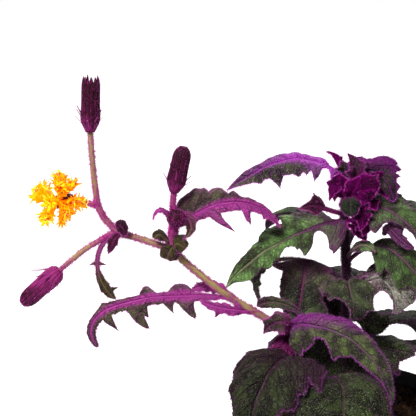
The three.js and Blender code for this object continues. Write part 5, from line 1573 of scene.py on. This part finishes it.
@dataclass(frozen=True)
class Bud:
    """A closed bud: bracts side by side round a core, and thin bractlets at its foot."""

    name: str
    stalk: Route
    tip: Point
    length: float = 22.0
    radius: float = 3.5
    bracts: int = 13
    open_tips: bool = False
    violet: float = 0.1
    tooth: float = 0.12
    bractlet_number: int = 12
    taper: float = 0.22

    def outline(self, share: Array) -> Array:
        """Gives the bud's radius from its foot to its top.

        Args:
            share: Heights as shares of the bud's length.

        Returns:
            The radius at each of them.
        """
        belly = 0.08 * np.exp(-(((share - 0.28) / 0.14) ** 2))
        foot = 0.4 + 0.6 * smoothstep(-0.06, self.taper, share) + belly
        closing = OPEN_CLOSING if self.open_tips else SHUT_CLOSING
        top = np.sqrt(np.clip(1 - ((share - SHOULDER) / closing) ** 2, 0, 1))
        return self.radius * foot * np.where(share > SHOULDER, top, 1.0)

    def stand(self, piece: Piece) -> None:
        """Stands the bud's mesh on its stalk.

        Args:
            piece: The bud's piece, which stands up from the origin.
        """
        foot = Vector(self.stalk[-1])
        turn = (Vector(self.tip) - foot).normalized().to_track_quat("Z", "Y").to_matrix()
        piece.data.transform(Matrix.Translation(foot * MM) @ turn.to_4x4())

    def shape(self) -> Shape:
        """Builds the core and the bracts, standing up from the origin.

        Returns:
            The shape.
        """
        shape = Shape()
        share = np.linspace(0, 0.84 if self.open_tips else 0.97, CORE_POINTS)
        line = np.stack([0 * share, 0 * share, share * self.length], -1)
        flush = np.full(CORE_POINTS, self.violet * 0.5)
        shape.add_tube(line, self.outline(share) * 0.92 + 0.02, CORE_POINTS, flush)
        rng = random.Random(self.name)
        for i in range(self.bracts):
            centre = 2 * math.pi * (i + rng.uniform(-0.08, 0.08)) / self.bracts
            self._add_bract(shape, centre, rng.uniform(0.95, 1.0))
        return shape

    def _add_bract(self, shape: Shape, centre: float, reach: float) -> None:
        """Adds one bract.

        Args:
            shape: The shape that takes it.
            centre: The angle of its midline round the bud.
            reach: Its length as a share of the bud's.
        """
        across = np.linspace(-1, 1, BRACT_POINTS[1])
        half = math.pi / self.bracts * BRACT_OVERLAP
        s = np.linspace(0.0, reach, BRACT_POINTS[0])
        narrow = np.clip((reach - s) / self.tooth, 0.03, 1) ** 0.8
        angle = centre + half * across[None, :] * narrow[:, None]
        keel = 0.3 * (1 - across**2)[None, :] * narrow[:, None] + 0.05
        radius = self.outline(np.minimum(s, 0.99))[:, None] + keel
        height = np.broadcast_to((s * self.length)[:, None], angle.shape)
        outer = np.stack([radius * np.cos(angle), radius * np.sin(angle), height], -1)
        inward = np.stack([np.cos(angle), np.sin(angle), np.zeros_like(angle)], -1) * BRACT_THICKNESS
        ends = 0.6 * (1 - s) ** 3 + 0.5 * smoothstep(0.88, 1.0, s / reach)
        shape.add_sheet(
            outer[:, ::-1],
            (outer - inward)[:, ::-1],
            flush=np.broadcast_to((self.violet * (1 - 0.8 * s) + ends)[:, None], angle.shape).ravel(),
            margin=np.broadcast_to(np.abs(across)[None, :] ** 3, angle.shape).ravel(),
            place=np.stack([height, self.radius * angle], -1).reshape(-1, 2),
        )

    def bractlets(self) -> list[Mark]:
        """Places the bractlets, standing up from the origin.

        Returns:
            The place, turn and size of each.
        """
        rng = random.Random(self.name + "bractlets")
        marks = []
        for i in range(self.bractlet_number):
            angle = 2 * math.pi * (i + rng.uniform(-0.25, 0.25)) / self.bractlet_number
            height = rng.uniform(0.4, 2.6)
            radius = float(self.outline(np.array([height / self.length]))[0]) * 0.9
            lean = rng.uniform(0.15, 0.6)
            place = (radius * math.cos(angle), radius * math.sin(angle), height)
            marks.append((place, (0.0, lean, angle), rng.uniform(0.7, 1.3)))
        return marks


BUDS = (
    Bud("bud_top", TOP_BUD_STALK, (-107.3, -15, 225), open_tips=True, length=23.4),
    Bud("bud_low", LOW_BUD_STALK, (-139.5, -18, 127), violet=0.95, taper=0.1),
    Bud("bud_middle", MIDDLE_BUD_STALK, (-69.5, -16, 197), length=20),
    Bud("bud_round", BUD_SHOOT, (-72, -27, 168), length=7.4, radius=3.4, violet=0.2, bractlet_number=0),
)


@dataclass(frozen=True)
class Bractlet:
    """One thin bractlet that bends outwards."""

    length: float = 7.5
    bend: float = 1.1
    half_width: float = 0.45
    thickness: float = 0.14
    steps: int = 12

    def build(self, material: Material) -> Piece:
        """Makes the bractlet, foot at the origin.

        Args:
            material: Its material.

        Returns:
            The object, kept out of the scene.
        """
        s = np.linspace(0, 1, self.steps)
        level = np.ones(self.steps)
        across = np.linspace(-1, 1, 3)
        line = np.stack([self.bend * s**2.2, 0 * s, self.length * s], -1)
        section = np.stack([0.06 * (1 - across**2), across, 0 * across], -1)
        stretch = np.stack([level, self.half_width * (1 - s) ** 0.6 + 0.05, level], -1)
        upper = line[:, None] + section[None] * stretch[:, None]
        lower = upper - np.array([self.thickness, 0, 0])
        shape = Shape()
        shape.add_sheet(upper[:, ::-1], lower[:, ::-1], flush=np.repeat(1.2 - 0.2 * s, 3))
        piece = shape.piece("bractlet_shape", [material, material])
        bpy.context.scene.collection.objects.unlink(piece)
        return piece


def marks_piece(name: str, marks: list[Mark], ripeness: list[float] | None = None) -> Piece:
    """Makes a cloud of marked points for a whorl.

    Args:
        name: The object's name.
        marks: Each point's place in millimetres, turn and size.
        ripeness: A value for each copy.

    Returns:
        The object.
    """
    mesh = bpy.data.meshes.new(name)
    mesh.from_pydata([tuple(MM * c for c in place) for place, _, _ in marks], [], [])
    turns = [c for _, turn, _ in marks for c in turn]
    mesh.attributes.new("turn", "FLOAT_VECTOR", "POINT").data.foreach_set("vector", turns)
    mesh.attributes.new("size", "FLOAT", "POINT").data.foreach_set("value", [size for _, _, size in marks])
    mesh.attributes.new("flush", "FLOAT", "POINT").data.foreach_set("value", ripeness or [0.0] * len(marks))
    return placed(name, mesh)


@dataclass(frozen=True)
class Floret:
    """One tubular floret with five lobes, a dark anther tube and two curled style arms.

    levels are the tube's heights as shares of its length, with their radii. steps are a lobe's three rungs:
    how far out each is, how high above the tube and how wide.
    """

    length: float = 7.6
    throat: float = 1.0
    lobe: float = 2.2
    sides: int = 10
    skin: float = 0.12
    levels: tuple[tuple[float, float], ...] = ((0.0, 0.35), (0.42, 0.4), (0.66, 0.6), (0.85, 0.95))
    steps: tuple[Point, ...] = ((0.7, 0.8, 0.85), (1.5, 1.2, 0.6), (2.3, 1.0, 0.06))

    def build(self, petal: Material, anther: Material) -> Piece:
        """Makes the floret, foot at the origin.

        Args:
            petal: The material of the tube and lobes.
            anther: The material of the anther tube.

        Returns:
            The object, kept out of the scene.
        """
        tube = placed("floret_shape", self._corolla())
        tube.data.materials.append(petal)
        tube.data.polygons.foreach_set("use_smooth", [True] * len(tube.data.polygons))
        inner = self._anther().piece("floret_anther", [anther])
        curled = self._arms().piece("floret_arms", [petal])
        merge(tube, [inner, curled])
        bpy.context.scene.collection.objects.unlink(tube)
        return tube

    def _corolla(self) -> bpy.types.Mesh:
        """Makes the tube and its lobes.

        Returns:
            The mesh.
        """
        bm = bmesh.new()
        paint = bm.verts.layers.float.new("flush")
        angles = [2 * math.pi * i / self.sides for i in range(self.sides)]

        def spot(radius: float, angle: float, height: float, flush: float) -> bmesh.types.BMVert:
            """Adds one painted point.

            Args:
                radius: How far it is from the axis.
                angle: Where it is round the axis.
                height: How high it is.
                flush: What is painted on it.

            Returns:
                The point.
            """
            vertex = bm.verts.new((radius * math.cos(angle), radius * math.sin(angle), height))
            vertex[paint] = flush
            return vertex

        rings = [[spot(radius, a, share * self.length, share * 0.6) for a in angles]
                 for share, radius in (*self.levels, (1.0, self.throat))]
        for low, high in zip(rings, rings[1:]):
            for i in range(self.sides):
                after = (i + 1) % self.sides
                bm.faces.new((low[i], low[after], high[after], high[i]))
        mouth = rings[-1]
        for i in range(0, self.sides, 2):
            corners = [mouth[i - 1], mouth[i], mouth[(i + 1) % self.sides]]
            for step, (out, rise, narrow) in enumerate(self.steps):
                reach = self.throat + out * self.lobe / 2.3
                spots = [
                    spot(reach, angles[i] + side * narrow * self.throat / reach * 0.6,
                         self.length + rise - 0.1 * abs(side), 0.7 + 0.1 * (step + 1))
                    for side in (-1, 0, 1)
                ]
                for left, right in ((0, 1), (1, 2)):
                    bm.faces.new((corners[left], corners[right], spots[right], spots[left]))
                corners = spots
        bmesh.ops.solidify(bm, geom=bm.faces[:], thickness=self.skin)
        bmesh.ops.recalc_face_normals(bm, faces=bm.faces[:])
        bmesh.ops.scale(bm, vec=(MM, MM, MM), verts=bm.verts[:])
        mesh = bpy.data.meshes.new("floret_shape")
        bm.to_mesh(mesh)
        bm.free()
        return mesh

    def _anther(self) -> Shape:
        """Makes the dark tube in the throat.

        Returns:
            The shape.
        """
        shape = Shape()
        line = np.array([(0.0, 0.0, z) for z in (self.length * 0.7, self.length * 0.9, self.length + 1.6)])
        shape.add_tube(line, np.array([0.25, 0.36, 0.3]), 7, np.full(3, 0.4))
        return shape

    def _arms(self) -> Shape:
        """Makes the two style arms.

        Returns:
            The shape.
        """
        shape = Shape()
        swing = np.linspace(0, 2.6, 9)
        for side in (-1, 1):
            curl = np.stack([side * 0.9 * (1 - np.cos(swing)), 0.15 * side * swing, np.sin(swing) * 1.1], -1)
            shape.add_tube(curl + [0, 0, self.length + 1.2], np.linspace(0.15, 0.09, 9), 6, np.ones(9))
        return shape


@dataclass
class Flowering:
    """The buds, and the open flower with its cup."""

    velvet: Tree
    whorl: Tree
    shop: Finishes
    tufts: int = 15
    florets_each: int = 6
    cup_length: float = 9.0
    cup_radius: float = 2.9
    seat: float = 1.0
    axis: Point = (-0.62, -0.74, 0.25)
    spread: float = 112.0
    jitter: float = 0.13
    streaks: float = 2.2
    fur: Fur = Fur(3.0, 1.1, 0.06, 0.6)
    first_seed: int = 300
    head_seed: int = 7

    def build(self) -> list[Piece]:
        """Makes the buds and the flower.

        Returns:
            The pieces.
        """
        thin = self.shop.skin("bractlet_skin", "561440", "7c2462", "5c184a", self.streaks)
        skin = self.shop.skin("bud_skin", "280612", "842462", "100208", self.streaks)
        cup = Bud("flower_cup", FLOWER_STALK, self._along(self.cup_length), self.cup_length * 1.05,
                  self.cup_radius, violet=0.5, open_tips=True)
        return [*(self._bud(bud, skin, thin) for bud in (*BUDS, cup)), self._head()]

    def _along(self, distance: float) -> Point:
        """Gives a point on the flower's axis."""
        return tuple(Vector(FLOWER_STALK[-1]) + Vector(self.axis).normalized() * (self.seat + distance))

    def _bud(self, bud: Bud, skin: Material, thin: Material) -> Piece:
        """Makes one bud on its stalk.

        Args:
            bud: The bud.
            skin: The material of its bracts.
            thin: The material of its bractlets.

        Returns:
            The piece.
        """
        piece = bud.shape().piece(f"{bud.name}_grown", [skin, skin])
        if bud.bractlet_number:
            marks = marks_piece("bractlet_marks", bud.bractlets())
            shape = Bractlet().build(thin)
            grown(marks, self.whorl, {"Shape": shape})
            merge(piece, [marks])
            bpy.data.objects.remove(shape)
        bud.stand(piece)
        self.fur.grow(piece, self.velvet, self.first_seed + len(bud.name), self.shop.hair(HAIR_MAGENTA))
        return dress(piece, bud.name)

    def _head(self) -> Piece:
        """Makes the head of florets, fanned out from the cup's mouth.

        Returns:
            The piece.
        """
        petal = self.shop.petal("floret_satin", "ffb400", "ffe000", "ff7a00")
        anther = self.shop.petal("anther_satin", "e06a08", "d04a06", "a03206")
        shape = Floret().build(petal, anther)
        rng = random.Random(self.head_seed)
        stand = Vector(self.axis).normalized().to_track_quat("Z", "Y")
        root = Vector(self._along(self.cup_length * 0.85))
        marks = []
        ripeness = []
        for i in range(self.tufts):
            tilt = math.radians(self.spread) * ((i + 0.3) / self.tufts) ** 0.5
            swing = GOLDEN_ANGLE * i + rng.uniform(-0.25, 0.25)
            ripe = rng.random()
            for _ in range(self.florets_each):
                lean = tilt + rng.uniform(-self.jitter, self.jitter)
                around = swing + rng.uniform(-self.jitter, self.jitter) / max(math.sin(tilt), 0.3)
                side = math.sin(lean)
                way = stand @ Vector((side * math.cos(around), side * math.sin(around), math.cos(lean)))
                spin = Matrix.Rotation(rng.uniform(0, 6), 3, "Z").to_quaternion()
                turn = way.to_track_quat("Z", "Y") @ spin
                marks.append((tuple(root + way * 0.5), tuple(turn.to_euler()), rng.uniform(0.82, 1.32)))
                ripeness.append(min(1.0, max(0.0, ripe + rng.uniform(-0.3, 0.3))))
        piece = marks_piece("flower_florets_open", marks, ripeness)
        grown(piece, self.whorl, {"Shape": shape})
        bpy.data.objects.remove(shape)
        return dress(piece, "flower_florets")


# Pot and soil


@dataclass
class Potting:
    """The nursery pot and the peat in it."""

    crumbs: Tree
    shop: Finishes
    height: float = 80.0
    rim_radius: float = 46.0
    base_radius: float = 31.5
    wall: float = 1.6
    floor: float = 2.0
    band_height: float = 11.0
    band_step: float = 1.6
    bead: float = 1.2
    drains: int = 6
    drain_radius: float = 3.5
    drain_circle: float = 22.0
    soil_top: float = 75.0
    soil_crown: float = 1.6
    soil_gap: float = 0.4
    soil_rings: int = 46
    soil_seed: int = 5
    lumps: int = 26
    sides: int = 144

    def build(self) -> list[Piece]:
        """Makes the pot and the soil."""
        return [self._pot(), self._soil()]

    def _ring(self, radius: Array, height: Array) -> Array:
        """Turns radii and heights into level rings of points.

        Args:
            radius: One radius for each ring.
            height: One height for each ring, or one for each of its points.

        Returns:
            The points, rings by sides by three.
        """
        angles = np.linspace(0, 2 * math.pi, self.sides, endpoint=False)
        x = np.reshape(radius, (-1, 1)) * np.cos(angles)
        y = np.reshape(radius, (-1, 1)) * np.sin(angles)
        return np.stack([x, y, np.broadcast_to(height, x.shape)], -1)

    def _profile(self) -> list[tuple[float, float]]:
        """Gives the pot's cross-section.

        Returns:
            Radius and height, from the middle of its underside round to the middle of its floor.
        """
        top, foot, wall = self.height, self.base_radius, self.wall
        shoulder = top - self.band_height
        body = self.rim_radius - self.bead - self.band_step
        band = body + self.band_step
        slope = (body - foot) / shoulder
        angles = np.linspace(-math.pi / 2, math.pi / 2 + 0.9, 12)
        arc = [(band + self.bead * (0.1 + 0.9 * math.cos(a)), top - self.bead + self.bead * math.sin(a))
               for a in angles]
        return [
            (0, 0), (10, 0), (foot - 1.4, 0), (foot - 0.4, 0.25), (foot, 1.2),
            (foot + slope * shoulder * 0.5, shoulder * 0.5), (body - 0.05, shoulder - 0.6),
            (body + 0.3, shoulder), (band - 0.3, shoulder), (band, shoulder + 0.4),
            (band, top - 2.4 * self.bead),
            *arc,
            (band - wall, top - 2 * self.bead), (band - wall, shoulder + wall), (body - wall, shoulder - 0.4),
            (foot - wall, self.floor + 1), (foot - wall - 1, self.floor), (10, self.floor), (0, self.floor),
        ]

    def _pot(self) -> Piece:
        """Makes the pot: turned, with drain holes through its floor.

        Returns:
            The piece.
        """
        points = np.array(self._profile())
        shape = Shape()
        ends = np.array([[0, 0, points[0][1]], [0, 0, points[-1][1]]])
        shape.add_rings(self._ring(points[1:-1, 0], points[1:-1, 1:]), ends)
        piece = shape.piece("pot_moulded", [self.shop.plastic("pot_moulded_plastic", "0e0e10", "3a322c")])
        self._drill(piece)
        return dress(piece, "pot")

    def _drill(self, piece: Piece) -> None:
        """Cuts the drain holes.

        Args:
            piece: The pot.
        """
        holes = Shape()
        for i in range(self.drains):
            angle = 2 * math.pi * i / self.drains
            x, y = self.drain_circle * math.cos(angle), self.drain_circle * math.sin(angle)
            line = np.array([(x, y, z) for z in (-2.0, 1.0, 4.0)])
            holes.add_tube(line, np.full(3, self.drain_radius), 24, np.zeros(3))
        cutter = holes.piece("drain_cutter", [])
        modifier = piece.modifiers.new("drains", "BOOLEAN")
        modifier.operation = "DIFFERENCE"
        modifier.object = cutter
        settle(piece, modifier)
        bpy.data.objects.remove(cutter)

    def _soil(self) -> Piece:
        """Makes the peat: a lumpy crowned top in the pot, strewn with crumbs.

        Returns:
            The piece.
        """
        radius = self.rim_radius - self.bead - self.wall - 0.15
        rng = np.random.default_rng(self.soil_seed)
        rings = np.linspace(0.015, 1, self.soil_rings)
        top = self._ring(radius * rings, 0.0).copy()
        x, y = top[..., 0], top[..., 1]
        lumps = np.zeros_like(x)
        for _ in range(self.lumps):
            heading = rng.uniform(0, 2 * math.pi)
            pace = rng.uniform(0.15, 1.4)
            lumps += rng.uniform(0.05, 0.22) / math.sqrt(pace) * np.sin(
                pace * (x * math.cos(heading) + y * math.sin(heading)) + rng.uniform(0, 6))
        top[..., 2] = self.soil_top - self.soil_crown * rings[:, None] ** 2 + lumps * 0.6
        bottom = self.floor + self.soil_gap
        wall = self._ring(0.97 * radius, self.height - self.band_height - 0.3)
        foot = self._ring(self.base_radius - self.wall - self.soil_gap, bottom)
        shape = Shape()
        ends = np.array([[0, 0, float(top[0, :, 2].mean())], [0, 0, bottom]])
        shape.add_rings(np.concatenate([top, wall, foot]), ends, mirrored=True, loose=self.soil_rings - 1)
        peat = self.shop.peat("peat_damp", "1a100b", "4c3020", 500.0)
        bark = self.shop.peat("bark_crumbs", "2a1a10", "7b5033", 320.0)
        pale = self.shop.peat("pale_grains", "6e655a", "cfc6b8", 260.0)
        piece = shape.piece("soil_packed", [peat])
        piece.data.attributes["rim"].name = "loose"
        for density, small, large, flat, seed, material in (
            (0.42, 0.35, 1.9, 0.6, 1, peat),
            (0.22, 0.45, 2.6, 0.35, 2, bark),
            (0.035, 0.25, 0.9, 0.8, 3, pale),
        ):
            grown(piece, self.crumbs, {
                "Density": density / MM**2, "Smallest": small * MM, "Largest": large * MM, "Flatness": flat,
                "Seed": seed, "Crumb": material,
            })
        return dress(piece, "soil")


# Studio

LAMPS = (
    ("key", (-0.45, -0.6, 0.95), 0.3, 20.0),
    ("fill", (0.9, -0.6, 0.5), 0.9, 2.0),
    ("back", (0.1, 0.8, 0.8), 0.6, 7.0),
)


@dataclass
class Studio:
    """The camera, the lights and the floor. A light's place is in metres."""

    aim: Point = (-60.0, 0.0, 165.4)
    distance: float = 750.0
    elevation: float = 15.0
    span: float = 175.0
    sensor: float = 36.0
    surround: float = 0.14
    floor_glow: float = 0.85
    floor_half: float = 4.0

    def build(self) -> None:
        """Sets up the studio."""
        scene = bpy.context.scene
        tilt = math.radians(self.elevation)
        back = Vector((0, -math.cos(tilt), math.sin(tilt)))
        data = bpy.data.cameras.new("camera")
        data.sensor_width = self.sensor
        data.lens = self.sensor * self.distance / self.span
        data.clip_start = 0.05
        camera = placed("camera", data)
        camera.location = (Vector(self.aim) + back * self.distance) * MM
        camera.rotation_euler = (math.radians(90) - tilt, 0, 0)
        scene.camera = camera
        self._floor()
        for lamp in LAMPS:
            self._light(*lamp)
        self._surround(scene)
        scene.view_settings.view_transform = "Standard"
        scene.view_settings.look = "None"

    def _surround(self, scene: bpy.types.Scene) -> None:
        """Wraps the studio in white, which lights the plant less than it shows.

        Args:
            scene: The scene.
        """
        world = bpy.data.worlds.new("studio")
        world.use_nodes = True
        graph = Graph(world.node_tree)
        strength = graph.plus(self.surround, graph.times(graph.seen(), 1.0 - self.surround))
        graph.feed(world.node_tree.nodes["Background"], {"Color": (1, 1, 1, 1), "Strength": strength})
        scene.world = world

    def _floor(self) -> None:
        """Lays the white floor, which lights the plant less than it shows."""
        half = self.floor_half
        mesh = bpy.data.meshes.new("floor")
        corners = [(-half, -half, 0), (half, -half, 0), (half, half, 0), (-half, half, 0)]
        mesh.from_pydata(corners, [], [(0, 1, 2, 3)])
        graph = Surface("floor_white")
        mesh.materials.append(graph.close((0.6, 0.6, 0.6, 1), {
            "Roughness": 0.9, "Emission Color": (1, 1, 1, 1),
            "Emission Strength": graph.times(graph.seen(), self.floor_glow),
        }))
        placed("floor", mesh)

    def _light(self, name: str, place: Point, size: float, power: float) -> None:
        """Hangs one soft light that faces the plant.

        Args:
            name: The light's name.
            place: Where it hangs, in metres.
            size: The length of its side in metres.
            power: Its power in watts.
        """
        data = bpy.data.lights.new(name, "AREA")
        data.size = size
        data.energy = power
        lamp = placed(name, data)
        lamp.location = place
        lamp.rotation_euler = (Vector(self.aim) * MM - Vector(place)).to_track_quat("-Z", "Y").to_euler()


def main() -> None:
    """Builds the plant in order."""
    logging.basicConfig(level=logging.INFO, format="%(message)s")
    shop = Finishes()
    velvet = velvet_tree()
    Studio().build()
    pieces = [
        *Potting(crumb_tree(), shop).build(),
        *Stems(velvet, shop).build(),
        *Foliage(velvet, shop).build(),
        *Flowering(velvet, whorl_tree(), shop).build(),
    ]
    total = 0
    for piece in pieces:
        triangles = sum(len(face.vertices) - 2 for face in piece.data.polygons)
        total += triangles
        LOG.info("%s: %d triangles", piece.name, triangles)
    LOG.info("all pieces: %d triangles", total)


if __name__ == "__main__":
    main()
